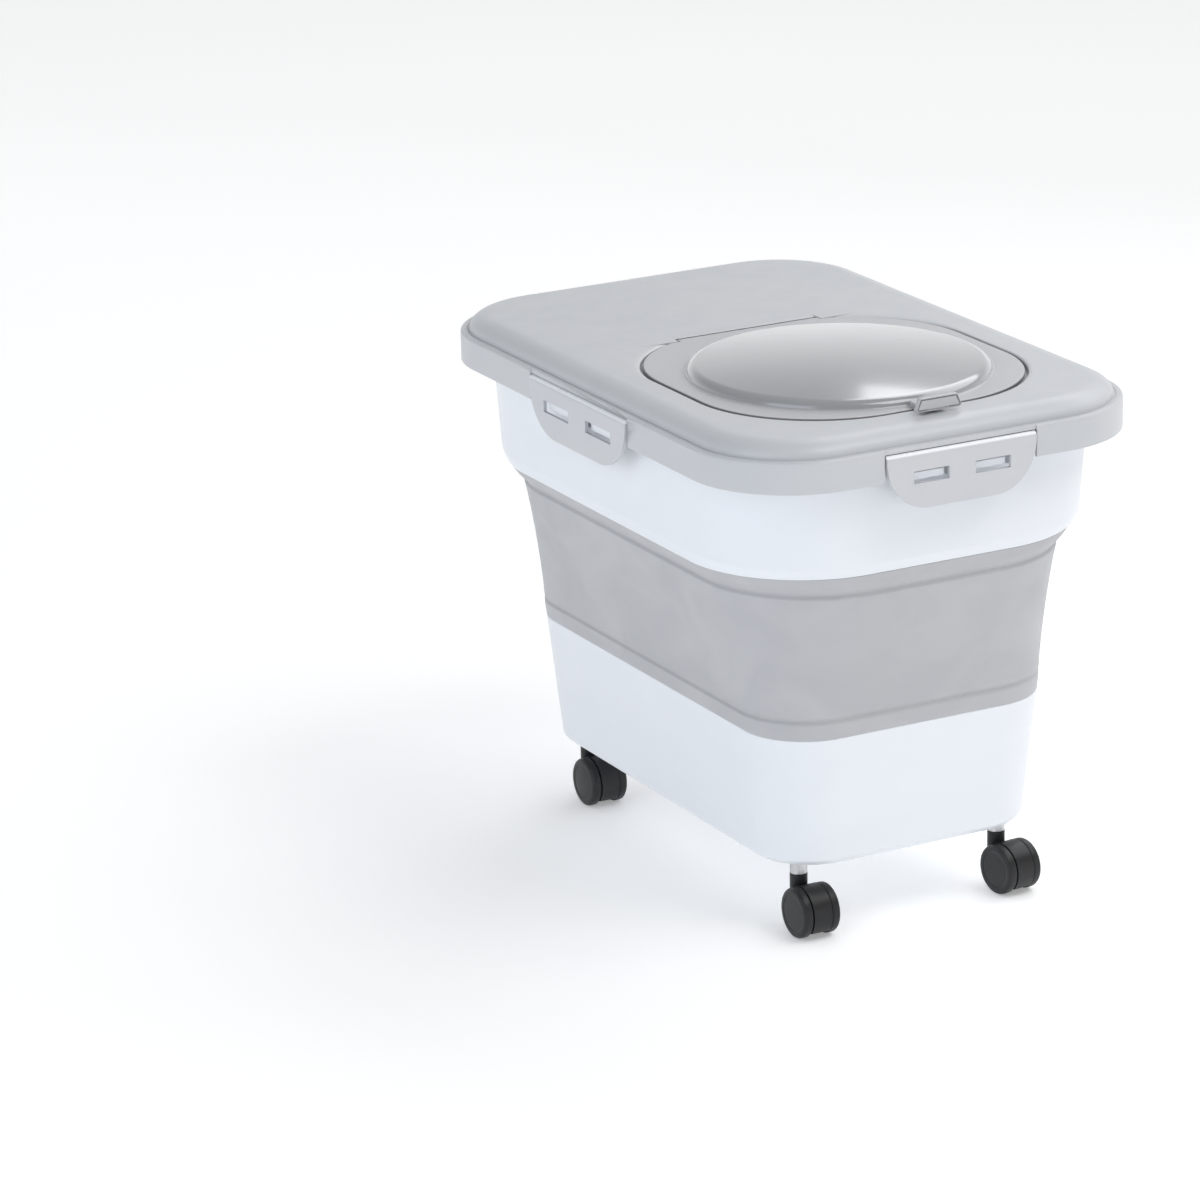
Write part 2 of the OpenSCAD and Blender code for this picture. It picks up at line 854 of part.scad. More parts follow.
// one wheel, with its closed face away from the hood
module wheel(side) {
    inner = hood_width / 2 + wheel_gap;
    color([0.12, 0.12, 0.13])
        translate([side * inner, -caster_trail, wheel_r])
            rotate([0, side * 90, 0])
                difference() {
                    rotate_extrude()
                        polygon([[0, 0], [wheel_r - 1, 0], [wheel_r, 1], [wheel_r, wheel_width - 2],
                            [wheel_r - 0.6, wheel_width - 0.9], [wheel_r - 2, wheel_width - 0.3],
                            [wheel_r - 4, wheel_width], [0, wheel_width]]);
                    translate([0, 0, -1])
                        cylinder(h = 1 + axle_reach + 0.3, r = axle_r + fit);
                    translate([0, 0, -1])
                        difference() {
                            cylinder(h = 3.4, r = wheel_r - 3);
                            cylinder(h = 3.4, r = axle_r + 2.6);
                        }
                }
}

module caster_socket_fl() { at_caster(-1, -1, 0) caster_socket(); }
module caster_socket_fr() { at_caster(1, -1, 0) caster_socket(); }
module caster_socket_bl() { at_caster(-1, 1, 0) caster_socket(); }
module caster_socket_br() { at_caster(1, 1, 0) caster_socket(); }
module caster_stem_fl() { at_caster(-1, -1, 0) caster_stem(); }
module caster_stem_fr() { at_caster(1, -1, 0) caster_stem(); }
module caster_stem_bl() { at_caster(-1, 1, 0) caster_stem(); }
module caster_stem_br() { at_caster(1, 1, 0) caster_stem(); }
module caster_hood_fl() { at_caster(-1, -1, 0) caster_hood(); }
module caster_hood_fr() { at_caster(1, -1, front_right_turn) caster_hood(); }
module caster_hood_bl() { at_caster(-1, 1, 0) caster_hood(); }
module caster_hood_br() { at_caster(1, 1, 0) caster_hood(); }
module wheel_axle_fl() { at_caster(-1, -1, 0) wheel_axle(); }
module wheel_axle_fr() { at_caster(1, -1, front_right_turn) wheel_axle(); }
module wheel_axle_bl() { at_caster(-1, 1, 0) wheel_axle(); }
module wheel_axle_br() { at_caster(1, 1, 0) wheel_axle(); }
module wheel_fl_left() { at_caster(-1, -1, 0) wheel(-1); }
module wheel_fl_right() { at_caster(-1, -1, 0) wheel(1); }
module wheel_fr_left() { at_caster(1, -1, front_right_turn) wheel(-1); }
module wheel_fr_right() { at_caster(1, -1, front_right_turn) wheel(1); }
module wheel_bl_left() { at_caster(-1, 1, 0) wheel(-1); }
module wheel_bl_right() { at_caster(-1, 1, 0) wheel(1); }
module wheel_br_left() { at_caster(1, 1, 0) wheel(-1); }
module wheel_br_right() { at_caster(1, 1, 0) wheel(1); }

// ---------- drawing ----------

lower_tub();
fold_band();
upper_frame();
main_lid();
lid_seal();
flip_lid();
flip_tab();
flip_seal();
flip_hinge_pin();
latch_front();
latch_back();
latch_left();
latch_right();
latch_pin_front();
latch_pin_back();
latch_pin_left();
latch_pin_right();
caster_socket_fl();
caster_socket_fr();
caster_socket_bl();
caster_socket_br();
caster_stem_fl();
caster_stem_fr();
caster_stem_bl();
caster_stem_br();
caster_hood_fl();
caster_hood_fr();
caster_hood_bl();
caster_hood_br();
wheel_axle_fl();
wheel_axle_fr();
wheel_axle_bl();
wheel_axle_br();
wheel_fl_left();
wheel_fl_right();
wheel_fr_left();
wheel_fr_right();
wheel_bl_left();
wheel_bl_right();
wheel_br_left();
wheel_br_right();
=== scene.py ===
import math

import bmesh
import bpy
import numpy as np
from mathutils import Matrix, Vector


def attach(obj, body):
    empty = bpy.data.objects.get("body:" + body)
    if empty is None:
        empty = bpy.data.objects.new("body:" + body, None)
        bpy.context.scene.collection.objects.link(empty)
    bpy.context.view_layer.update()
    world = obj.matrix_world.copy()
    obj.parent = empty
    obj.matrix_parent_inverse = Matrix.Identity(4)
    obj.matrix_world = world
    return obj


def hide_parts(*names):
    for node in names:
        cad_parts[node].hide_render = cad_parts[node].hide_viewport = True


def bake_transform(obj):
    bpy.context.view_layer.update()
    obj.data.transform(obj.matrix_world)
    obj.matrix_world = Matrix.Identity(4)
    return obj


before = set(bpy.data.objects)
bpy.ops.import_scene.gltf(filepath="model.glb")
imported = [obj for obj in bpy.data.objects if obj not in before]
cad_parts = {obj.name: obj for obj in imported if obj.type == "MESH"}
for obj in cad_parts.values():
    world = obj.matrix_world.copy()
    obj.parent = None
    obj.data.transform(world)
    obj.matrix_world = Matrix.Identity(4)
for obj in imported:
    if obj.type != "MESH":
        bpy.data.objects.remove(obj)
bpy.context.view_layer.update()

# Folding rice bin on casters. Front is -Y, the long axis is Y, the floor is z = 0.
# Sizes below are in millimetres and turned to metres as each mesh is made.
MM = 0.001

# heights of the stacked pieces
TUB_Z = 51.0
TUB_TOP_Z = 147.5
LOW_CREASE_Z = 161.5
HIGH_CREASE_Z = 256.0
FRAME_Z = 271.0
KNEE_Z = 279.2
SKIRT_Z = 341.7
FLANGE_Z = 357.5
SHOULDER_Z = 364.3
DECK_Z = 375.0

# the lid's outline and the flip lid's outline: half width, half length, corner radius, middle along Y
LID = (165.0, 240.5, 76.0, 0.0)
FLIP = (122.5, 123.5, 93.0, -71.0)

# sections through the walls from the floor up: half width, half length, corner radius
TUB_LOW = (107.5, 183.0, 47.0)
TUB_TOP = (115.0, 190.5, 48.0)
LOW_CREASE = (117.3, 192.8, 54.0)
HIGH_CREASE = (134.8, 210.3, 86.0)
FRAME_LOW = (147.0, 216.0, 90.0)
FRAME_KNEE = (148.0, 219.5, 86.0)
FRAME_TOP = (149.5, 222.5, 79.0)
FRAME_WALL = 2.4
BAND_WALL = 2.2
TUB_WALL = 2.6

# tub: floor, the part of it that is drawn in under the rounded foot, and the rim inside the band
TUB_FLOOR = 3.0
TUB_MIDDLE_IN = 40.0
TUB_UNDERSIDE_RISE = 1.2
TUB_RIM_H = 10.0
POST_R = 9.0
POST_H = 24.0

# band: depth of the creases, sag of the wall between them and the tongue inside the frame
CREASE_DEPTH = 0.9
WALL_SAG = 0.9
SAG_STEPS = 9
TONGUE_GAP = 0.3
TONGUE_WALL = 1.6
TONGUE_TOP_Z = FRAME_Z + 12.0

# frame: how far the flange's lip stands in from the lid's outline, and its lower edge
FLANGE_WALL = 2.8
LIP_OUTSIDE_IN = 6.8
LIP_INSIDE_IN = 9.0
LIP_LOW_Z = SKIRT_Z + 1.5

# lid: wall, deck roll, ribs round the seal, and the pan and collar under the flip lid
LID_WALL = 2.6
ROLL_IN = 6.4
ROLL_WIDTH = 17.6
ROLL_STEPS = 14
RIB_LOW_Z = FLANGE_Z + 0.8
OUTER_RIB_IN = (7.0, 8.6)
INNER_RIB_IN = (13.2, 14.8)
SEAL_ROOF_Z = 361.6
PAN_TOP_Z = 370.8
PAN_UNDER_Z = 368.4
PAN_WALL = 3.6
COLLAR_IN = (8.0, 10.0)
COLLAR_LOW_Z = 364.8

# latches: half width, window middle, window width, reach of the side from the bin's middle, quarter turns
LATCHES = {
    "front": (59.0, 24.3, 28.0, 240.5, 0),
    "right": (71.5, 31.2, 37.0, 165.0, 1),
    "back": (59.0, 24.3, 28.0, 240.5, 2),
    "left": (71.5, 31.2, 37.0, 165.0, 3),
}
LATCH_AXIS_Z = 356.7
LATCH_LOW_Z = 320.7
LATCH_PLATE = 2.6
LATCH_PROUD = 1.5
LATCH_AXIS_IN = 2.3
LATCH_SIDE_GAP = 1.2
LATCH_CORNER = 0.54
LATCH_CORNER_STEPS = 28
LATCH_ROLL_R = 3.8
LATCH_ROLL_GAP = 0.5
LATCH_BORE_R = 1.06
WINDOW_Z = 342.75
WINDOW_HALF_H = 4.4
CATCH_HALF_H = 2.75
CATCH_FRONT_IN = 2.2

# flip lid hinge and dome
FLIP_AXIS_Y = 49.4
FLIP_AXIS_Z = 372.0
FLIP_BARREL_HALF = 58.0
FLIP_BARREL_R = 3.0
HINGE_SLOT_R = 3.4
HINGE_SLOT_GAP = 0.9
FLIP_PLATE = 2.4
PLUG_LOW = 8.4
PLUG_IN = (11.5, 13.5)
DOME_R = 107.0
DOME_H = 11.0
DOME_EDGE = 6.3
DOME_ROUND = 6.5
DOME_Y = -79.0
DOME_WALL = 2.2

# pull tab: half width, height above the deck, reach in front of the flip lid, gap under it
TAB_HALF = 18.0
TAB_H = 12.0
TAB_REACH = 17.3
TAB_GAP = 2.2
TAB_FOOT_HALF = 9.0

# casters: stem place and turn about the stem
STEM_X = 81.3
STEM_Y = 156.1
CASTERS = {
    "front_left": ("fl", -1, -1, 0.0),
    "front_right": ("fr", 1, -1, 6.5),
    "back_left": ("bl", -1, 1, 0.0),
    "back_right": ("br", 1, 1, 0.0),
}
WHEEL_R = 18.0
WHEEL_WIDTH = 6.8
WHEEL_FACE_X = 7.7
TRAIL = 16.5

# the seam round the flip lid: its inner and outer edge from the flip lid's outline, and their rounding
SEAM_IN = -0.4
SEAM_OUT = 1.9
SEAM_ROUND = 1.4

# the polished dome: its colour, roughness and lacquer-like gloss
DOME_TONE = (0.315, 0.320, 0.332)
DOME_ROUGH = 0.16
DOME_COAT = 1.0
# strength of the studio room's own light
ROOM_LEVEL = 1.14
# light given off by the floor near the bin and far from it
FLOOR_GLOW = (0.26, 0.45)
# the studio room's grey from the horizon to straight overhead, as height and level
ROOM_GREYS = ((0.0, 1.0), (0.14, 0.94), (0.26, 0.76), (0.36, 0.52), (0.46, 0.32), (0.60, 0.24), (1.0, 0.28))

# camera: place in metres, the way it looks in degrees, its focal length in the frame's own pixels
CAMERA_AT = (-1.7635, -3.0710, 1.3361)
CAMERA_AZIMUTH = -27.702
CAMERA_ELEVATION = 17.995
CAMERA_ROLL = 1.300
FOCAL_PIXELS = 5151.75
FRAME_PIXELS = 1200
SENSOR_WIDTH = 36.0

# points along each side, each end and each quarter round of a rounded outline
SIDE_STEPS = 7
END_STEPS = 5
ARC_STEPS = 22


# ---------- mesh making ----------

def new_piece(name, mesh, finish):
    """A mesh as an object in the scene, with one finish on it."""
    piece = bpy.data.objects.new(name, mesh)
    bpy.context.scene.collection.objects.link(piece)
    if finish is not None:
        mesh.materials.append(finish)
    return piece


def outline(half_w, half_l, r, mid_y=0.0):
    """Points of a rounded rectangle, anticlockwise from the middle of its +X side."""
    points = []
    cx, cy = half_w - r, half_l - r
    corners = [(cx, cy, 0), (-cx, cy, 90), (-cx, -cy, 180), (cx, -cy, 270)]
    runs = [END_STEPS, SIDE_STEPS, END_STEPS]
    for i in range(SIDE_STEPS):
        points.append((half_w, cy * i / SIDE_STEPS))
    for k, (x, y, start) in enumerate(corners):
        for i in range(ARC_STEPS):
            a = math.radians(start + 90 * i / ARC_STEPS)
            points.append((x + r * math.cos(a), y + r * math.sin(a)))
        a = math.radians(start + 90)
        here = (x + r * math.cos(a), y + r * math.sin(a))
        if k == 3:
            there = (half_w, 0.0)
            steps = SIDE_STEPS
        else:
            nx, ny, nstart = corners[k + 1]
            b = math.radians(nstart)
            there = (nx + r * math.cos(b), ny + r * math.sin(b))
            steps = 2 * runs[k]
        for i in range(steps):
            t = i / steps
            points.append((here[0] + (there[0] - here[0]) * t, here[1] + (there[1] - here[1]) * t))
    found = np.array(points)
    found[:, 1] += mid_y
    return found


def at_height(points, z):
    """A flat outline lifted to height z, in metres."""
    return np.column_stack([points, np.full(len(points), float(z))]) * MM


def grown(shape, d):
    """A level or outline grown by d on every side."""
    rest = tuple(shape[3:])
    return (shape[0] + d, shape[1] + d, max(shape[2] + d, 1.0)) + rest


def corner(shape, z, radius=0.0):
    """One corner of a section: the level it lies on, its height and the radius it is rounded to."""
    full = tuple(shape) if len(shape) == 4 else tuple(shape) + (0.0,)
    return (np.array(full + (float(z),)), radius)


def rounded(section, closed, steps=5):
    """A section's corners, each rounded to its radius."""
    count = len(section)
    made = []
    for i, (here, radius) in enumerate(section):
        if radius <= 0 or (not closed and i in (0, count - 1)):
            made.append(here)
            continue
        before = section[(i - 1) % count][0]
        after = section[(i + 1) % count][0]
        back = before - here
        on = after - here
        plane = [0, 4]
        back_len = np.linalg.norm(back[plane])
        on_len = np.linalg.norm(on[plane])
        cosine = np.dot(back[plane], on[plane]) / (back_len * on_len)
        half_angle = math.acos(max(-1.0, min(1.0, cosine))) / 2
        reach = min(radius / max(math.tan(half_angle), 0.05), 0.48 * back_len, 0.48 * on_len)
        a = here + back * (reach / back_len)
        b = here + on * (reach / on_len)
        for k in range(steps + 1):
            t = k / steps
            made.append(a * (1 - t) ** 2 + here * 2 * t * (1 - t) + b * t * t)
    return made


def loft(name, section, finish, closed=False, cap_first=False, cap_last=False, steps=5):
    """Sweeps a section round the bin: each of its points is a whole level."""
    rows = [at_height(outline(*p[:4]), p[4]) for p in rounded(section, closed, steps)]
    return skin(name, rows, finish, closed, cap_first, cap_last)


def skin(name, rows, finish, closed=False, cap_first=False, cap_last=False):
    """A mesh through rows of points that all have the same count."""
    count = len(rows[0])
    verts = np.concatenate(rows)
    faces = []
    last = len(rows) if closed else len(rows) - 1
    for i in range(last):
        low = i * count
        high = ((i + 1) % len(rows)) * count
        for k in range(count):
            n = (k + 1) % count
            faces.append((low + k, low + n, high + n, high + k))
    if cap_first:
        faces.append(tuple(reversed(range(count))))
    if cap_last:
        faces.append(tuple(range((len(rows) - 1) * count, len(rows) * count)))
    mesh = bpy.data.meshes.new(name)
    mesh.from_pydata(verts.tolist(), [], faces)
    mesh.validate()
    turn_out(mesh)
    return new_piece(name, mesh, finish)


def turn_out(mesh):
    """Makes every face look outwards and shades the mesh smooth."""
    bm = bmesh.new()
    bm.from_mesh(mesh)
    bmesh.ops.recalc_face_normals(bm, faces=bm.faces[:])
    bm.to_mesh(mesh)
    bm.free()
    mesh.shade_smooth()


def block(name, low, high, finish=None, edge=0.0):
    """A box from one corner to the other, with its edges rounded."""
    mesh = bpy.data.meshes.new(name)
    bm = bmesh.new()
    bmesh.ops.create_cube(bm, size=1.0)
    low, high = Vector(low), Vector(high)
    for v in bm.verts:
        v.co = Vector(((low[i] + high[i]) / 2 + v.co[i] * (high[i] - low[i]) for i in range(3))) * MM
    if edge > 0:
        bmesh.ops.bevel(bm, geom=bm.edges[:], offset=edge * MM, segments=3, profile=0.5, affect="EDGES")
    bm.to_mesh(mesh)
    bm.free()
    mesh.shade_smooth()
    return new_piece(name, mesh, finish)


def turned(name, profile, finish=None, segments=72):
    """A shape turned about Z from a profile of (radius, height) points; radius 0 closes an end."""
    mesh = bpy.data.meshes.new(name)
    verts, faces, rings = [], [], []
    for r, z in profile:
        if r < 1e-6:
            rings.append([len(verts)])
            verts.append((0.0, 0.0, z * MM))
            continue
        rings.append(list(range(len(verts), len(verts) + segments)))
        for k in range(segments):
            a = 2 * math.pi * k / segments
            verts.append((r * math.cos(a) * MM, r * math.sin(a) * MM, z * MM))
    for low, high in zip(rings, rings[1:]):
        for k in range(segments):
            n = (k + 1) % segments
            if len(low) == 1:
                faces.append((low[0], high[n], high[k]))
            elif len(high) == 1:
                faces.append((low[k], low[n], high[0]))
            else:
                faces.append((low[k], low[n], high[n], high[k]))
    mesh.from_pydata(verts, [], faces)
    turn_out(mesh)
    return new_piece(name, mesh, finish)


def apply_shape(piece):
    """Turns a piece's modifiers into its mesh."""
    graph = bpy.context.evaluated_depsgraph_get()
    graph.update()
    shaped = bpy.data.meshes.new_from_object(piece.evaluated_get(graph))
    piece.modifiers.clear()
    piece.data = shaped
    return piece


def carve(piece, tool, operation="DIFFERENCE"):
    """Cuts a tool out of a piece, or joins it on."""
    step = piece.modifiers.new("carve", "BOOLEAN")
    step.operation = operation
    step.solver = "EXACT"
    step.object = tool
    apply_shape(piece)
    bpy.data.objects.remove(tool)
    return piece


def place(piece, matrix):
    """Moves a piece's mesh itself, so that the piece keeps the bin's own coordinates."""
    piece.data.transform(matrix)
    return piece


def join(piece, *others):
    """Adds other pieces' meshes to a piece."""
    bm = bmesh.new()
    bm.from_mesh(piece.data)
    for other in others:
        bm.from_mesh(other.data)
    bm.to_mesh(piece.data)
    bm.free()
    for other in others:
        bpy.data.objects.remove(other)
    piece.data.shade_smooth()
    return piece


def soften(piece, width, angle=38.0, segments=3, weld=False):
    """Rounds a piece's sharp edges and keeps its flat faces flat in the light."""
    if weld:
        step = piece.modifiers.new("weld", "WELD")
        step.merge_threshold = 0.000005
        step = piece.modifiers.new("merge_flats", "DECIMATE")
        step.decimate_type = "DISSOLVE"
        step.angle_limit = math.radians(0.4)
    if width > 0:
        step = piece.modifiers.new("edges", "BEVEL")
        step.width = width * MM
        step.segments = segments
        step.limit_method = "ANGLE"
        step.angle_limit = math.radians(angle)
        step.use_clamp_overlap = True
    step = piece.modifiers.new("shading", "WEIGHTED_NORMAL")
    step.keep_sharp = True
    step.weight = 60
    return piece


def side_turn(side, reach):
    """Puts what is modelled for a side at Y = 0, facing -Y, on that side of the bin."""
    turn = Matrix.Rotation(math.radians(90 * side), 4, "Z")
    return turn @ Matrix.Translation((0, -reach * MM, 0))


# ---------- finishes ----------

class Wire:
    """One output of a finish's nodes. Sums on wires write Math nodes."""

    def __init__(self, paint, socket):
        self.paint = paint
        self.socket = socket

    def math(self, operation, other, flipped=False):
        """One Math node; flipped puts the other value first."""
        first, second = (other, self) if flipped else (self, other)
        return self.paint.node("ShaderNodeMath", {"operation": operation}, {0: first, 1: second})

    def __add__(self, other):
        return self.math("ADD", other)

    __radd__ = __add__

    def __sub__(self, other):
        return self.math("SUBTRACT", other)

    def __rsub__(self, other):
        return self.math("SUBTRACT", other, True)

    def __mul__(self, other):
        return self.math("MULTIPLY", other)

    __rmul__ = __mul__


class Paint:
    """A finish being made: a material, or the studio's room, and the nodes in it."""

    def __init__(self, name, kept_in=bpy.data.materials, place="Object"):
        self.owner = kept_in.new(name)
        self.owner.use_nodes = True
        self.tree = self.owner.node_tree
        self.tree.nodes.clear()
        self.place = self.node("ShaderNodeTexCoord", out=place)

    def node(self, kind, settings=None, sockets=None, out=0):
        """Adds a node with its settings, and the values or links of its sockets."""
        made = self.tree.nodes.new(kind)
        for key, value in (settings or {}).items():
            if key == "stops":
                self.set_stops(made.color_ramp, value)
            else:
                setattr(made, key, value)
        for key, value in (sockets or {}).items():
            if isinstance(value, Wire):
                self.tree.links.new(value.socket, made.inputs[key])
            else:
                made.inputs[key].default_value = value
        return Wire(self, made.outputs[out]) if len(made.outputs) else made

    def set_stops(self, ramp, stops):
        """Sets a ramp's places and colours, blended smoothly."""
        ramp.interpolation = "B_SPLINE"
        while len(ramp.elements) < len(stops):
            ramp.elements.new(0.5)
        for element, (position, colour) in zip(ramp.elements, stops):
            element.position = position
            element.color = (*colour, 1.0)

    def blotch(self, scale, detail=3.0, rough=0.5, stretch=(1, 1, 1), lean=0.0):
        """Cloudy unevenness, 0 to 1; scale is how many cells there are to the metre."""
        where = self.node("ShaderNodeMapping", None, {"Vector": self.place, "Scale": stretch})
        return self.node(
            "ShaderNodeTexNoise",
            None,
            {"Vector": where, "Scale": scale, "Detail": detail, "Roughness": rough, "Distortion": lean},
        )

    def band(self, wire, low, high):
        """0 below low, 1 above high and smooth between."""
        return self.node(
            "ShaderNodeMapRange",
            {"interpolation_type": "SMOOTHSTEP"},
            {"Value": wire, "From Min": low, "From Max": high},
        )

    def along(self, axis):
        """Where the surface lies along one axis, in metres."""
        return self.node("ShaderNodeSeparateXYZ", None, {"Vector": self.place}, axis)

    def height(self):
        """Height above the floor, in metres."""
        return self.along("Z")

    def from_axis(self, x, y):
        """Distance from an upright axis, in metres."""
        across = self.along("X") - x * MM
        deep = self.along("Y") - y * MM
        return (across * across + deep * deep).math("SQRT", 0.0)

    def past_edge(self, half_w, half_l, r, mid_y):
        """Distance outside a rounded rectangle, in metres; below zero inside it."""
        across = self.along("X").math("ABSOLUTE", 0.0) - (half_w - r) * MM
        deep = (self.along("Y") - mid_y * MM).math("ABSOLUTE", 0.0) - (half_l - r) * MM
        across = across.math("MAXIMUM", 0.0)
        deep = deep.math("MAXIMUM", 0.0)
        return (across * across + deep * deep).math("SQRT", 0.0) - r * MM

    def over(self, share, under, top):
        """A flat colour laid over a varying one."""
        return self.node("ShaderNodeMix", {"data_type": "RGBA"}, {0: share, 6: under, 7: (*top, 1.0)}, 2)

    def tint(self, share, first, second):
        """A colour between two flat colours."""
        return self.over(share, (*first, 1.0), second)

    def grain(self):
        """The fine grain that a spark-eroded mould leaves."""
        return self.blotch(1500, 2.0, 0.6)

    def flow(self, scale):
        """Faint clouds where the plastic flowed along the mould, 0 to 1."""
        return self.band(self.blotch(scale, 3.0, 0.55, (1.0, 1.0, 2.4), 0.6), 0.34, 0.68)

    def bump(self, height, depth, strength=1.0, normal=None):
        """A fine relief; depth is in millimetres for a height of 1."""
        links = {"Height": height, "Distance": depth * MM, "Strength": strength}
        if normal is not None:
            links["Normal"] = normal
        return self.node("ShaderNodeBump", None, links, "Normal")

    def done(self, **sockets):
        """The shader itself, joined to the material's output."""
        named = {key.replace("_", " "): value for key, value in sockets.items()}
        shader = self.node("ShaderNodeBsdfPrincipled", None, named)
        self.node("ShaderNodeOutputMaterial", None, {"Surface": shader})
        return self.owner


def moulded(name, colour, shade, rough, grain_depth, wave=0.0, ior=1.49):
    """Injection-moulded polypropylene: a fine spark-eroded grain, faint flow clouding and uneven gloss."""
    paint = Paint(name)
    grain = paint.grain()
    pores = paint.blotch(5200, 1.0, 0.5)
    rub = paint.blotch(38, 4.0, 0.62, (1.0, 1.0, 0.35))
    surface = paint.tint(paint.flow(9), colour, shade)
    relief = grain * 0.8 + pores * 0.2
    normal = paint.bump(relief, grain_depth)
    if wave > 0:
        sag = paint.blotch(17, 1.0, 0.4)
        normal = paint.bump(sag, wave, 1.0, normal)
    gloss = rough - 0.05 + 0.10 * paint.band(rub, 0.35, 0.7) + 0.03 * grain
    return paint.done(Base_Color=surface, Roughness=gloss, Normal=normal, IOR=ior)


def latch_finish(name):
    """Grey polypropylene, with a painted highlight: the rolled top is painted paler and made glossier."""
    paint = Paint(name)
    rub = paint.blotch(60, 4.0, 0.62, (1.0, 1.0, 0.35))
    face = paint.tint(paint.flow(11), (0.575, 0.583, 0.605), (0.555, 0.565, 0.590))
    # painted highlight: the rolled top above the pin is painted pale, standing in for light catching the
    # roll
    roll = paint.band(paint.height(), (LATCH_AXIS_Z + 1.2) * MM, (LATCH_AXIS_Z + 2.6) * MM)
    surface = paint.over(roll, face, (0.86, 0.88, 0.91))
    gloss = 0.38 - 0.14 * roll + 0.07 * paint.band(rub, 0.35, 0.7)
    normal = paint.bump(paint.grain(), 0.008)
    return paint.done(Base_Color=surface, Roughness=gloss, Normal=normal, IOR=1.49)


def flip_lid_finish(name):
    """Grey polypropylene: a fine satin grain on the flange, the dome polished, and painted shade on the
    seam edge.
    """
    paint = Paint(name)
    rub = paint.blotch(30, 4.0, 0.62)
    dome = 1 - paint.band(paint.from_axis(0.0, DOME_Y), (DOME_R - 0.4) * MM, (DOME_R + 1.2) * MM)
    # painted shade: near its outline and below the deck, the flip lid's edge wall is painted near black
    # where the seam's shadow falls
    near_edge = paint.band(paint.past_edge(*FLIP), -2.0 * MM, -1.2 * MM)
    below = 1 - paint.band(paint.height(), (DECK_Z - 0.40) * MM, (DECK_Z - 0.03) * MM)
    flange = paint.tint(paint.flow(9), (0.490, 0.492, 0.508), (0.475, 0.479, 0.498))
    surface = paint.over(dome, flange, DOME_TONE)
    surface = paint.over(near_edge * below * 0.85, surface, (0.10, 0.10, 0.11))
    normal = paint.bump(paint.grain(), 0.004)
    gloss = 0.34 - (0.34 - DOME_ROUGH) * dome + 0.04 * paint.band(rub, 0.35, 0.7)
    return paint.done(
        Base_Color=surface,
        Roughness=gloss,
        Normal=normal,
        IOR=1.49,
        Coat_Weight=dome * DOME_COAT,
        Coat_Roughness=0.10,
    )


def rubber_band_finish(name, colour, shade, painted_crease_shade):
    """Soft thermoplastic rubber: matt, with a talc-like bloom and painted shade, a darker ragged line,
    along each crease.
    """
    paint = Paint(name)
    height = paint.height()
    fine = paint.blotch(900, 3.0, 0.6)
    cloud = paint.blotch(14, 3.0, 0.55, (1.0, 1.0, 1.6), 0.8)
    surface = paint.tint(paint.band(cloud, 0.3, 0.7), colour, shade)
    ragged = paint.blotch(60, 3.0, 0.6) * 0.004
    # painted shade: a darker ragged line is painted along each crease
    for line in (LOW_CREASE_Z, HIGH_CREASE_Z):
        away = (height + ragged - (line * MM + 0.002)).math("ABSOLUTE", 0.0)
        share = (1 - paint.band(away, 0.0006, 0.0040)) * 0.45
        surface = paint.over(share, surface, painted_crease_shade)
    pleats = paint.blotch(26, 2.0, 0.5, (1.0, 1.0, 0.4))
    normal = paint.bump(fine, 0.03)
    normal = paint.bump(pleats, 0.5, 0.6, normal)
    gloss = 0.52 + 0.12 * paint.band(cloud, 0.3, 0.75) + 0.05 * fine
    return paint.done(
        Base_Color=surface,
        Roughness=gloss,
        Normal=normal,
        IOR=1.47,
        Sheen_Weight=0.12,
        Sheen_Roughness=0.4,
    )


def steel_finish(name, colour, rough):
    """Drawn steel wire and bar: fine lines round the bar and a slightly uneven polish."""
    paint = Paint(name)
    lines = paint.blotch(2600, 2.0, 0.5, (1.0, 1.0, 0.08))
    haze = paint.blotch(260, 3.0, 0.6)
    surface = paint.tint(haze, colour, tuple(c * 0.82 for c in colour))
    return paint.done(
        Base_Color=surface,
        Metallic=1.0,
        Roughness=rough + 0.16 * lines,
        Normal=paint.bump(lines, 0.01),
    )


def seal_finish(name, colour):
    """Silicone rubber of the seals: soft, a little dusty on top."""
    paint = Paint(name)
    fine = paint.blotch(1600, 2.0, 0.6)
    dust = paint.blotch(90, 4.0, 0.6)
    surface = paint.tint(paint.band(dust, 0.45, 0.8), colour, tuple(min(1.0, c * 1.18) for c in colour))
    return paint.done(
        Base_Color=surface,
        Roughness=0.42 + 0.18 * dust,
        Normal=paint.bump(fine, 0.02),
        IOR=1.41,
        Sheen_Weight=0.08,
    )


LID_GREY = moulded("lid_grey", (0.543, 0.556, 0.578), (0.527, 0.542, 0.567), 0.36, 0.008, 0.08)
LATCH_GREY = latch_finish("latch_grey")
FLIP_GREY = flip_lid_finish("flip_lid_grey")
BIN_WHITE = moulded("bin_white", (0.795, 0.822, 0.862), (0.783, 0.810, 0.854), 0.34, 0.008, 0.06)
CASTER_BLACK = moulded("caster_black", (0.013, 0.013, 0.014), (0.019, 0.019, 0.020), 0.38, 0.020, ior=1.40)
# the band's two tones, then the darker colour of the painted shade along its creases
BAND_TONES = ((0.478, 0.482, 0.502), (0.448, 0.453, 0.475), (0.38, 0.385, 0.40))
BAND_GREY = rubber_band_finish("fold_band_grey", *BAND_TONES)
PIN_STEEL = steel_finish("pin_steel", (0.62, 0.62, 0.63), 0.22)
SEAL_GREY = seal_finish("seal_grey_silicone", (0.42, 0.43, 0.45))


# ---------- lower tub ----------

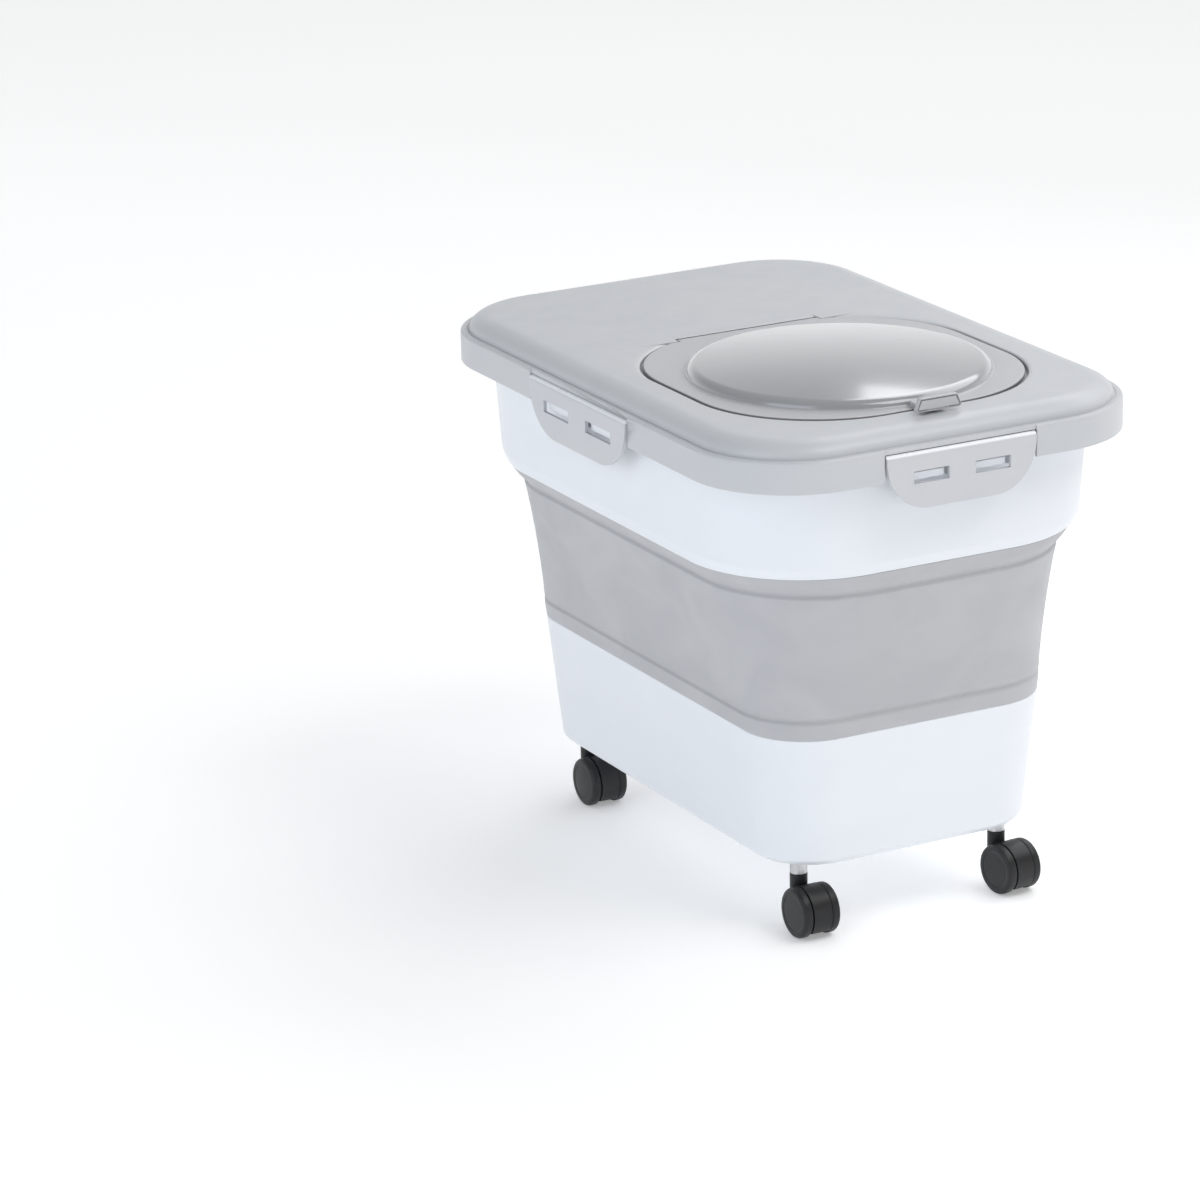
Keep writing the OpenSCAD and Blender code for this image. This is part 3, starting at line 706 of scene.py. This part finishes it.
def make_post(sx, sy):
    """The ribbed post on the tub's floor that a caster's socket sits in."""
    foot, top, r = TUB_Z, TUB_Z + POST_H, POST_R
    profile = [
        (5.95, foot + 0.2), (6.3, foot), (r, foot), (r, foot + 2.4), (11.5, foot + 3.2), (9.6, foot + 4.6),
        (r, foot + 7.0), (8.9, top - 0.8), (8.1, top), (0.0, top),
    ]
    post = turned("post", profile, None, 48)
    return place(post, Matrix.Translation((sx * STEM_X * MM, sy * STEM_Y * MM, 0)))


def make_lower_tub():
    """The white tub: a rounded foot, walls that lean out and a thin rim that stands inside the band."""
    rim_z = TUB_TOP_Z + TUB_RIM_H
    floor_z = TUB_Z + TUB_FLOOR
    section = [
        corner(grown(TUB_LOW, -TUB_MIDDLE_IN), TUB_Z + TUB_UNDERSIDE_RISE),
        corner(grown(TUB_LOW, -16.0), TUB_Z + TUB_UNDERSIDE_RISE, 0.6),
        corner(grown(TUB_LOW, -14.6), TUB_Z, 0.6),
        corner(grown(TUB_LOW, -5.5), TUB_Z, 3.0),
        corner(grown(TUB_LOW, -0.5), TUB_Z + 4.2, 4.0),
        corner(TUB_LOW, TUB_Z + 10.0, 3.0),
        corner(TUB_TOP, TUB_TOP_Z, 0.7),
        corner(grown(TUB_TOP, -2.5), TUB_TOP_Z, 0.3),
        corner(grown(TUB_TOP, -2.0), rim_z, 0.6),
        corner(grown(TUB_TOP, -3.6), rim_z, 0.6),
        corner(grown(TUB_TOP, -4.2), TUB_TOP_Z - 2.0, 4.0),
        corner(grown(TUB_TOP, -4.4), TUB_TOP_Z - 8.0, 4.0),
        corner(grown(TUB_LOW, -TUB_WALL), floor_z, 7.0),
        corner(grown(TUB_LOW, -TUB_MIDDLE_IN), floor_z),
    ]
    tub = loft("tub_body", section, BIN_WHITE, cap_first=True, cap_last=True)
    join(tub, *[make_post(sx, sy) for sx in (-1, 1) for sy in (-1, 1)])
    soften(tub, 0.0)
    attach(tub, "base")
    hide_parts("lower_tub")
    return tub


# ---------- folding band ----------

def between(first, second, share, bulge=0.0):
    """The level a share of the way from one level to another, with its sides pushed out by bulge."""
    return tuple(a + (b - a) * share + push for a, b, push in zip(first, second, (bulge, bulge, 0.0)))


def make_band():
    """The rubber wall: a crease near each end, a slight sag between and a tongue up inside the frame."""
    tongue_low = grown(FRAME_LOW, -FRAME_WALL - TONGUE_GAP)
    tongue_knee = grown(FRAME_KNEE, -FRAME_WALL - TONGUE_GAP)
    section = [
        corner(grown(TUB_TOP, -2.2), TUB_TOP_Z, 0.4),
        corner(TUB_TOP, TUB_TOP_Z, 0.6),
        corner(between(TUB_TOP, LOW_CREASE, 0.5, 0.25), TUB_TOP_Z + 7.0, 6.0),
        corner(grown(LOW_CREASE, 0.15), LOW_CREASE_Z - 1.9, 1.2),
        corner(grown(LOW_CREASE, -CREASE_DEPTH), LOW_CREASE_Z, 0.8),
        corner(grown(LOW_CREASE, 0.35), LOW_CREASE_Z + 2.2, 1.6),
    ]
    wall_h = HIGH_CREASE_Z - LOW_CREASE_Z
    for i in range(1, SAG_STEPS):
        t = i / SAG_STEPS
        level = between(LOW_CREASE, HIGH_CREASE, t, -WALL_SAG * math.sin(math.pi * t))
        section.append(corner(level, LOW_CREASE_Z + 2.2 + (wall_h - 4.4) * t, 2.0))
    section += [
        corner(grown(HIGH_CREASE, 0.35), HIGH_CREASE_Z - 2.2, 1.6),
        corner(grown(HIGH_CREASE, -CREASE_DEPTH), HIGH_CREASE_Z, 0.8),
        corner(grown(HIGH_CREASE, 0.5), HIGH_CREASE_Z + 1.9, 1.2),
        corner(between(HIGH_CREASE, FRAME_LOW, 0.5, 0.5), HIGH_CREASE_Z + 8.0, 5.0),
        corner(grown(FRAME_LOW, -0.5), FRAME_Z, 0.5),
        corner(tongue_low, FRAME_Z, 0.3),
        corner(tongue_knee, KNEE_Z, 3.0),
        corner(tongue_knee, TONGUE_TOP_Z, 0.6),
        corner(grown(tongue_knee, -TONGUE_WALL), TONGUE_TOP_Z, 0.6),
        corner(grown(tongue_knee, -TONGUE_WALL), KNEE_Z, 3.0),
        corner(grown(tongue_low, -TONGUE_WALL), FRAME_Z - 1.0, 2.0),
        corner(grown(HIGH_CREASE, -BAND_WALL), HIGH_CREASE_Z, 1.0),
    ]
    for i in range(SAG_STEPS - 1, 0, -1):
        t = i / SAG_STEPS
        level = between(LOW_CREASE, HIGH_CREASE, t, -WALL_SAG * math.sin(math.pi * t))
        section.append(corner(grown(level, -BAND_WALL), LOW_CREASE_Z + wall_h * t, 2.0))
    section.append(corner(grown(LOW_CREASE, -BAND_WALL), LOW_CREASE_Z, 1.0))
    band = loft("fold_band_skin", section, BAND_GREY, closed=True, steps=4)
    soften(band, 0.0)
    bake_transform(band)
    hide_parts("fold_band")
    return band


# ---------- upper frame ----------

def lid_level(inset):
    """The lid's outline drawn in by inset."""
    return grown(LID, -inset)


def make_upper_frame():
    """The white frame: walls with a knee, a flange with a turned-down lip and the latches' catches."""
    section = [
        corner(grown(FRAME_LOW, -FRAME_WALL), FRAME_Z, 0.8),
        corner(FRAME_LOW, FRAME_Z, 1.2),
        corner(FRAME_KNEE, KNEE_Z, 6.0),
        corner(FRAME_TOP, FLANGE_Z - FLANGE_WALL, 1.0),
        corner(lid_level(LIP_INSIDE_IN), FLANGE_Z - FLANGE_WALL, 0.8),
        corner(lid_level(LIP_INSIDE_IN), LIP_LOW_Z, 0.5),
        corner(lid_level(LIP_OUTSIDE_IN), LIP_LOW_Z, 0.7),
        corner(lid_level(LIP_OUTSIDE_IN), FLANGE_Z, 0.8),
        corner(grown(FRAME_TOP, -FRAME_WALL), FLANGE_Z, 1.2),
        corner(grown(FRAME_KNEE, -FRAME_WALL), KNEE_Z, 6.0),
    ]
    ring = loft("frame_ring", section, BIN_WHITE, closed=True)
    parts = []
    for _, window_x, window_w, reach, side in LATCHES.values():
        turn = side_turn(side, reach)
        wide = window_x + window_w / 2 + 4
        pad = block("pad", (-wide, 6.6, WINDOW_Z - 4.25), (wide, 9.2, FLANGE_Z - 1.0), None, 0.5)
        parts.append(place(pad, turn))
        catch_half = window_w / 2 - 2
        for x in (-window_x, window_x):
            catch_low = (x - catch_half, CATCH_FRONT_IN, WINDOW_Z - CATCH_HALF_H)
            catch_high = (x + catch_half, 8.6, WINDOW_Z + CATCH_HALF_H)
            parts.append(place(block("catch", catch_low, catch_high, None, 0.6), turn))
    join(ring, *parts)
    soften(ring, 0.0)
    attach(ring, "frame")
    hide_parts("upper_frame")
    return ring


# ---------- main lid ----------

def rolled_edge():
    """The rolled edge of the deck, from the flat deck down to the shoulder."""
    levels = []
    for i in range(ROLL_STEPS, -1, -1):
        share = 1 - math.cos(math.pi / 2 * i / ROLL_STEPS)
        rise = (1 - (1 - share) ** 2.2) ** 0.505 if share > 0 else 0.0
        height = (DECK_Z - SHOULDER_Z) * rise
        levels.append(corner(lid_level(ROLL_IN + ROLL_WIDTH * share), SHOULDER_Z + height))
    return levels


def flip_level(grow):
    """The flip lid's outline grown by grow."""
    return grown(FLIP, grow)


def lid_section():
    """The lid from the seam out over the deck, down the skirt and back under it to the pan."""
    under_shoulder_z = SHOULDER_Z - LID_WALL
    section = [corner(flip_level(SEAM_OUT), DECK_Z, SEAM_ROUND)]
    section += rolled_edge()
    section += [
        corner(lid_level(6.3), SHOULDER_Z - 0.5, 0.3),
        corner(lid_level(5.2), SHOULDER_Z - 0.5, 0.4),
        corner(lid_level(4.6), SHOULDER_Z, 0.4),
        corner(lid_level(0.0), SHOULDER_Z, 2.6),
        corner(lid_level(0.0), SKIRT_Z, 0.8),
        corner(lid_level(LID_WALL), SKIRT_Z, 0.8),
        corner(lid_level(LID_WALL), under_shoulder_z, 1.0),
        corner(lid_level(OUTER_RIB_IN[0]), under_shoulder_z, 0.4),
        corner(lid_level(OUTER_RIB_IN[0]), RIB_LOW_Z, 0.4),
        corner(lid_level(OUTER_RIB_IN[1]), RIB_LOW_Z, 0.4),
        corner(lid_level(OUTER_RIB_IN[1]), SEAL_ROOF_Z, 0.2),
        corner(lid_level(INNER_RIB_IN[0]), SEAL_ROOF_Z, 0.2),
        corner(lid_level(INNER_RIB_IN[0]), RIB_LOW_Z, 0.4),
        corner(lid_level(INNER_RIB_IN[1]), RIB_LOW_Z, 0.4),
        corner(lid_level(15.2), 369.0, 1.5),
        corner(lid_level(ROLL_IN + ROLL_WIDTH), DECK_Z - LID_WALL, 3.0),
        corner(flip_level(PAN_WALL), DECK_Z - LID_WALL, 0.6),
        corner(flip_level(PAN_WALL), PAN_UNDER_Z, 0.6),
        corner(flip_level(-COLLAR_IN[0]), PAN_UNDER_Z, 0.6),
        corner(flip_level(-COLLAR_IN[0]), COLLAR_LOW_Z, 0.5),
        corner(flip_level(-COLLAR_IN[1]), COLLAR_LOW_Z, 0.5),
        corner(flip_level(-COLLAR_IN[1]), PAN_TOP_Z, 0.6),
        corner(flip_level(SEAM_OUT), PAN_TOP_Z, 0.4),
    ]
    return section


def make_hinge_bed(lid):
    """Cuts the slot for the flip lid's barrel into a trough under the deck."""
    half = FLIP_BARREL_HALF + HINGE_SLOT_GAP
    trough_x = FLIP_BARREL_HALF + 8
    trough_low = (-trough_x, FLIP_AXIS_Y - 6, FLIP_AXIS_Z - 5.8)
    trough_high = (trough_x, FLIP_AXIS_Y + 6, DECK_Z - 0.8)
    carve(lid, block("trough", trough_low, trough_high), "UNION")
    # the seam stops where the deck runs up to the hinge on both sides of the barrel
    for s in (-1, 1):
        x0, x1 = sorted((s * half, s * (half + 32)))
        filler_low = (x0, FLIP_AXIS_Y - HINGE_SLOT_R, DECK_Z - 5.0)
        carve(lid, block("filler", filler_low, (x1, FLIP_AXIS_Y + 9, DECK_Z)), "UNION")
    carve(lid, rod("slot_round", half, HINGE_SLOT_R, FLIP_AXIS_Y, FLIP_AXIS_Z))
    slot_low = (-half, FLIP_AXIS_Y - 4, FLIP_AXIS_Z)
    carve(lid, block("slot", slot_low, (half, FLIP_AXIS_Y + HINGE_SLOT_R, DECK_Z + 6)))
    carve(lid, slot_chamfer(half))


def make_latch_bed(lid, half, reach, side):
    """Opens the skirt for one latch, cuts the round bed for its roll and returns its two pin bosses."""
    turn = side_turn(side, reach)
    open_half = half + LATCH_SIDE_GAP
    low = SKIRT_Z - 1
    cuts = [
        block("cut", (-open_half, -3, low), (open_half, 6, LATCH_AXIS_Z)),
        block("cut", (-open_half, -3, low), (open_half, 1.5, low + 40)),
        rod("cut", open_half, LATCH_ROLL_R + LATCH_ROLL_GAP, LATCH_AXIS_IN, LATCH_AXIS_Z),
    ]
    for cut in cuts:
        carve(lid, place(cut, turn))
    bosses = []
    for s in (-1, 1):
        x0, x1 = sorted((s * open_half, s * (open_half + 6.0)))
        boss = block("boss", (x0, 2.1, LATCH_AXIS_Z - 4), (x1, 5.0, SHOULDER_Z - 2.1), None, 0.4)
        bosses.append(place(boss, turn))
    return bosses


def make_main_lid():
    """The snap-on lid with the flip lid's pan and hinge bed and the four latches' beds."""
    lid = loft("lid_shell", lid_section(), LID_GREY, closed=True, steps=4)
    make_hinge_bed(lid)
    bosses = []
    for half, _, _, reach, side in LATCHES.values():
        bosses += make_latch_bed(lid, half, reach, side)
    join(lid, *bosses)
    soften(lid, 0.3, 42.0, 2)
    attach(lid, "lid")
    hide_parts("main_lid")
    return lid


def rod(name, half, r, y, z, finish=None, segments=48):
    """A rod along X, from -half to half."""
    bar = turned(name, [(0, -half), (r, -half), (r, half), (0, half)], finish, segments)
    return place(bar, Matrix.Translation((0, y * MM, z * MM)) @ Matrix.Rotation(math.radians(90), 4, "Y"))


def slot_chamfer(half):
    """The shallow sloped relief behind the hinge barrel."""
    y = FLIP_AXIS_Y + HINGE_SLOT_R
    low, run = DECK_Z - 1.0, 6.5
    corners = [(y - 1, low), (y, low), (y + run, DECK_Z), (y + run, DECK_Z + 1), (y - 1, DECK_Z + 1)]
    rows = [np.array([(x, cy, cz) for cy, cz in corners]) * MM for x in (-half, half)]
    return skin("slot_slope", rows, None, cap_first=True, cap_last=True)


# ---------- latches ----------

def make_latches():
    """Four latch plates with long elliptical lower corners, two windows and a rolled top on a pin."""
    for name, (half, window_x, window_w, reach, side) in LATCHES.items():
        long, deep = half * LATCH_CORNER, LATCH_AXIS_Z - LATCH_LOW_Z
        arc = [math.radians(90 * i / LATCH_CORNER_STEPS) for i in range(LATCH_CORNER_STEPS + 1)]
        edge = [(half - long + long * math.cos(a), LATCH_AXIS_Z - deep * math.sin(a)) for a in arc]
        edge = [(-x, z) for x, z in edge] + edge[::-1]
        faces_y = (-LATCH_PROUD, LATCH_PLATE - LATCH_PROUD)
        rows = [np.array([(x, y, z) for x, z in edge]) * MM for y in faces_y]
        latch = skin(f"latch_plate_{name}", rows, LATCH_GREY, cap_first=True, cap_last=True)
        carve(latch, rod("roll", half, LATCH_ROLL_R, LATCH_AXIS_IN, LATCH_AXIS_Z, None, 64), "UNION")
        for x in (-window_x, window_x):
            window_low = (x - window_w / 2, -4, WINDOW_Z - WINDOW_HALF_H)
            window_high = (x + window_w / 2, 4, WINDOW_Z + WINDOW_HALF_H)
            carve(latch, block("window", window_low, window_high))
        carve(latch, rod("pin_bore", half + 1, LATCH_BORE_R, LATCH_AXIS_IN, LATCH_AXIS_Z, None, 32))
        place(latch, side_turn(side, reach))
        soften(latch, 0.6, 42.0, 3)
        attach(latch, f"latch_{name}")
        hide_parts(f"latch_{name}")


# ---------- flip lid ----------

def crown_height(r):
    """Height of the dome's shallow crown above the deck."""
    crown_r = DOME_R - DOME_ROUND
    return DOME_EDGE + (DOME_H - DOME_EDGE) * (1 - (r / crown_r) ** 2)


def dome_profile():
    """The dome's outside from its foot to its middle, as radius and height above the deck."""
    first = math.radians(80)
    crown_r = DOME_R - DOME_ROUND
    scale = DOME_ROUND / (1 - math.cos(first))
    profile = [(DOME_R + 2.2, 0.0), (DOME_R + 1.1, 0.10), (DOME_R + 0.45, 0.38), (DOME_R + 0.1, 0.9)]
    for i in range(2, 15):
        a = first * i / 14
        r = crown_r + scale * (math.cos(a) - math.cos(first))
        profile.append((r, DOME_EDGE * math.sin(a) / math.sin(first)))
    for share in [0.985, 0.965, 0.94, 0.91] + [i / 20 for i in range(17, 1, -1)] + [0.05, 0.01]:
        profile.append((crown_r * share, crown_height(crown_r * share)))
    return profile


def hollow_profile():
    """The dome's inside from its middle to the plate's underside."""
    hollow_r = DOME_R - DOME_ROUND - 0.5
    profile = []
    for share in [0.01, 0.06] + [i / 14 for i in range(2, 15)]:
        r = (hollow_r - 1.5) * share
        profile.append((r, crown_height(r) - DOME_WALL))
    profile += [(hollow_r - 0.4, 2.9), (hollow_r, 1.8), (hollow_r, -1.8), (hollow_r + 0.4, -FLIP_PLATE)]
    return profile


def make_flip_lid():
    """The flip lid in one skin: the hollow under the dome, the plug wall, the flange and the dome."""
    edge = outline(*flip_level(0.0))
    away = edge - np.array([0.0, DOME_Y])
    directions = away / np.linalg.norm(away, axis=1)[:, None]

    def ring(r, lift):
        return at_height(np.array([0.0, DOME_Y]) + directions * r, DECK_Z + lift)

    rows = [ring(r, lift) for r, lift in hollow_profile()]
    plug_out, plug_in = PLUG_IN
    under_z = DECK_Z - FLIP_PLATE
    section = [
        corner(flip_level(-14.2), under_z),
        corner(flip_level(-plug_in), under_z, 0.4),
        corner(flip_level(-plug_in), DECK_Z - PLUG_LOW, 0.5),
        corner(flip_level(-plug_out), DECK_Z - PLUG_LOW, 0.5),
        corner(flip_level(-plug_out), under_z, 0.4),
        corner(flip_level(SEAM_IN), under_z, 0.5),
        corner(flip_level(SEAM_IN), DECK_Z, SEAM_ROUND),
        corner(flip_level(-4.5), DECK_Z),
    ]
    rows += [at_height(outline(*p[:4]), p[4]) for p in rounded(section, False, 4)]
    rows += [ring(r, lift) for r, lift in dome_profile()]
    lid = skin("flip_lid_shell", rows, FLIP_GREY, cap_first=True, cap_last=True)
    low, high = DECK_Z - 12, DECK_Z + 8
    carve(lid, block("cut", (-130, FLIP_AXIS_Y, low), (130, FLIP_AXIS_Y + 20, high)))
    for s in (-1, 1):
        x0, x1 = sorted((s * FLIP_BARREL_HALF, s * 130))
        carve(lid, block("cut", (x0, FLIP_AXIS_Y - 5, low), (x1, FLIP_AXIS_Y + 20, high)))
    carve(lid, rod("barrel", FLIP_BARREL_HALF - 0.3, FLIP_BARREL_R, FLIP_AXIS_Y, FLIP_AXIS_Z), "UNION")
    soften(lid, 0.3, 42.0, 2)
    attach(lid, "flip")
    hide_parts("flip_lid")
    return lid


def tab_ring(inset, r, y):
    """The tab face's outline, drawn in by inset and rounded to r, at depth y."""
    low, high = DECK_Z + TAB_GAP + inset, DECK_Z + TAB_H - inset
    wide, narrow = TAB_HALF - inset * 1.1, TAB_HALF - 2.2 - inset * 1.1
    middles = [(wide - r, low + r, -90), (narrow - r, high - r, 0)]
    middles += [(r - narrow, high - r, 90), (r - wide, low + r, 180)]
    points = []
    for x, z, start in middles:
        for i in range(9):
            turn = math.radians(start + 90 * i / 8)
            points.append((x + r * math.cos(turn), y, z + r * math.sin(turn)))
    return np.array(points) * MM


def make_tab():
    """The upright pull tab on its thin foot: a grooved face, with a finger gap under it."""
    front_y = FLIP[3] - FLIP[1]
    face_y = front_y - TAB_REACH
    low = DECK_Z + TAB_GAP
    half = TAB_FOOT_HALF
    foot = block("tab_foot", (-half, face_y + 1, low), (half, front_y + 7.5, low + 2), FLIP_GREY, 0.6)
    neck = block("neck", (1 - half, front_y + 2, DECK_Z), (half - 1, front_y + 7, low + 1), None, 0.2)
    # each ring of the face, from its back round to the groove's floor: inset, corner radius, depth
    steps = [(1.2, 1.0, 4.0), (0.4, 1.8, 3.9), (0.0, 2.2, 3.3)]
    steps += [(0.0, 2.2, 0.5), (0.15, 2.05, 0.15), (0.5, 1.7, 0.0)]
    steps += [(0.7, 1.5, 0.0), (0.8, 1.45, 0.1), (0.85, 1.4, 1.8)]
    steps += [(1.7, 1.0, 1.8), (1.75, 1.0, 0.1), (1.85, 1.0, 0.0)]
    rows = [tab_ring(inset, r, face_y + back) for inset, r, back in steps]
    face = skin("face", rows, None, cap_first=True, cap_last=True)
    tab = join(foot, neck, face)
    soften(tab, 0.0)
    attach(tab, "flip")
    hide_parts("flip_tab")
    return tab


# ---------- wheels ----------

def make_wheel(name, side, matrix):
    """One disc wheel with a crowned tread, a rolled outer edge and a shallow ring on its face."""
    w, r = WHEEL_WIDTH, WHEEL_R
    profile = [
        (0.0, 5.0), (2.1, 5.0), (2.1, 0.0), (4.6, 0.0), (4.6, 2.4), (r - 3.2, 2.4), (r - 3.0, 0.3),
        (r - 2.6, 0.0), (r - 0.9, 0.0), (r - 0.3, 0.25), (r - 0.06, 0.9), (r, 2.2), (r, w - 2.6),
        (r - 0.15, w - 1.8),
        (r - 0.6, w - 1.0), (r - 1.3, w - 0.45), (r - 2.2, w - 0.15), (r - 3.4, w), (r - 4.6, w),
        (r - 4.9, w - 0.18), (r - 5.2, w - 0.35), (r - 5.6, w - 0.35), (r - 5.9, w - 0.2),
        (6.5, w - 0.06), (3.4, w - 0.02), (0.0, w),
    ]
    wheel = turned(name, profile, CASTER_BLACK, 96)
    hub = Matrix.Translation((side * WHEEL_FACE_X * MM, -TRAIL * MM, r * MM))
    place(wheel, matrix @ hub @ Matrix.Rotation(math.radians(side * 90), 4, "Y"))
    return wheel


def make_casters():
    """The eight wheels, two to a caster, each on its own turn about the stem."""
    for place_name, (short, sx, sy, turn) in CASTERS.items():
        stem = Matrix.Translation((sx * STEM_X * MM, sy * STEM_Y * MM, 0))
        matrix = stem @ Matrix.Rotation(math.radians(turn), 4, "Z")
        for side, word in ((-1, "left"), (1, "right")):
            wheel = make_wheel(f"wheel_disc_{place_name}_{word}", side, matrix)
            soften(wheel, 0.0)
            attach(wheel, f"wheel_{place_name}_{word}")
            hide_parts(f"wheel_{short}_{word}")


# ---------- CAD nodes that stay ----------

def finish_node(node, finish, edge):
    """Gives a node of the frame its finish and rounds its edges a little."""
    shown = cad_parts[node]
    shown.data.materials.clear()
    shown.data.materials.append(finish)
    shown.data.shade_smooth()
    soften(shown, edge, 30.0, 3, weld=True)


def finish_nodes():
    """The pins, seals and caster frames, which are shown as they come."""
    for side in LATCHES:
        finish_node(f"latch_pin_{side}", PIN_STEEL, 0.2)
    for short, _, _, _ in CASTERS.values():
        finish_node(f"caster_socket_{short}", CASTER_BLACK, 0.3)
        finish_node(f"caster_stem_{short}", PIN_STEEL, 0.25)
        finish_node(f"caster_hood_{short}", CASTER_BLACK, 1.0)
        finish_node(f"wheel_axle_{short}", PIN_STEEL, 0.2)
    finish_node("flip_hinge_pin", PIN_STEEL, 0.2)
    finish_node("lid_seal", SEAL_GREY, 0.8)
    finish_node("flip_seal", SEAL_GREY, 0.4)


# ---------- stage ----------

def make_stage():
    """A plain white floor that glows a little more with distance, so that it has no horizon."""
    size = 9.0
    mesh = bpy.data.meshes.new("studio_floor")
    corners = [(-size, -size, 0), (size, -size, 0), (size, size, 0), (-size, size, 0)]
    mesh.from_pydata(corners, [], [(0, 1, 2, 3)])
    paint = Paint("floor_white")
    faint = paint.blotch(3.0, 2.0, 0.5)
    far = paint.band(paint.from_axis(0.0, 0.0), 0.35, 2.8)
    near_glow, far_glow = ((level, level, level) for level in FLOOR_GLOW)
    material = paint.done(
        Base_Color=paint.tint(faint, (0.92, 0.92, 0.92), (0.94, 0.94, 0.94)),
        Roughness=0.7,
        Emission_Color=paint.tint(far, near_glow, far_glow),
        Emission_Strength=1.0,
    )
    floor = new_piece("studio_floor", mesh, material)


def area_light(name, place_at, look_at, size, watts, colour):
    """A flat softbox; size is its width and height in metres."""
    data = bpy.data.lights.new(name, "AREA")
    data.shape = "RECTANGLE"
    data.size, data.size_y = size
    data.energy = watts
    data.color = colour
    lamp = bpy.data.objects.new(name, data)
    bpy.context.scene.collection.objects.link(lamp)
    lamp.location = place_at
    direction = Vector(look_at) - Vector(place_at)
    lamp.rotation_euler = direction.to_track_quat("-Z", "Y").to_euler()


def aim(distance, azimuth, elevation):
    """A place at a distance from the lid; azimuth 0 is straight behind the bin, 90 to its right."""
    az, el = math.radians(azimuth), math.radians(elevation)
    flat = distance * math.cos(el)
    return (flat * math.sin(az), flat * math.cos(az), 0.37 + distance * math.sin(el))


def make_lights():
    """A key light from the front right, a cool one from the left and two that draw the dome's gloss."""
    middle = (0, 0, 0.30)
    area_light("front_softbox", aim(3.2, 150, 54), middle, (1.6, 1.6), 32, (1.0, 0.985, 0.965))
    area_light("left_softbox", aim(3.0, -112, 26), middle, (1.8, 1.8), 18.5, (0.80, 0.89, 1.0))
    upright_z = 2.42
    for name, azimuth in (("window_softbox", 54), ("side_softbox", 97)):
        x, y, _ = aim(2.0, azimuth, 0)
        stand, axis = (x, y, upright_z), (0, 0, upright_z)
        area_light(name, stand, axis, (1.54, 2.1), 24.5, (0.97, 0.98, 1.0))


def make_room():
    """A white studio whose walls are bright and whose ceiling is darker."""
    room = Paint("studio_room", bpy.data.worlds, "Generated")
    stops = [(height, (level * 0.98, level * 0.99, level)) for height, level in ROOM_GREYS]
    grey = room.node("ShaderNodeValToRGB", {"stops": stops}, {"Fac": room.height()})
    sky = room.node("ShaderNodeBackground", None, {"Color": grey, "Strength": ROOM_LEVEL})
    room.node("ShaderNodeOutputWorld", None, {"Surface": sky})
    bpy.context.scene.world = room.owner


def make_camera():
    """The camera, looking down on the bin from its front left."""
    data = bpy.data.cameras.new("camera")
    data.sensor_width = SENSOR_WIDTH
    data.lens = FOCAL_PIXELS / FRAME_PIXELS * SENSOR_WIDTH
    data.clip_start = 0.1
    data.clip_end = 60.0
    camera = bpy.data.objects.new("camera", data)
    bpy.context.scene.collection.objects.link(camera)
    turns = (CAMERA_AZIMUTH, CAMERA_ELEVATION, CAMERA_ROLL)
    azimuth, elevation, roll = (math.radians(turn) for turn in turns)
    flat = math.cos(elevation)
    back = Vector((math.sin(azimuth) * flat, -math.cos(azimuth) * flat, math.sin(elevation)))
    right = Vector((math.cos(azimuth), math.sin(azimuth), 0.0))
    up = back.cross(right)
    c, s = math.cos(roll), math.sin(roll)
    x_axis = right * c - up * s
    y_axis = right * s + up * c
    turn = Matrix((x_axis, y_axis, back)).transposed().to_4x4()
    camera.matrix_world = Matrix.Translation(CAMERA_AT) @ turn
    bpy.context.scene.camera = camera


make_camera()
make_stage()
make_lights()
make_room()
make_lower_tub()
make_band()
make_upper_frame()
make_main_lid()
make_latches()
make_flip_lid()
make_tab()
make_casters()
finish_nodes()

view = bpy.context.scene.view_settings
view.view_transform = "Standard"
view.look = "None"
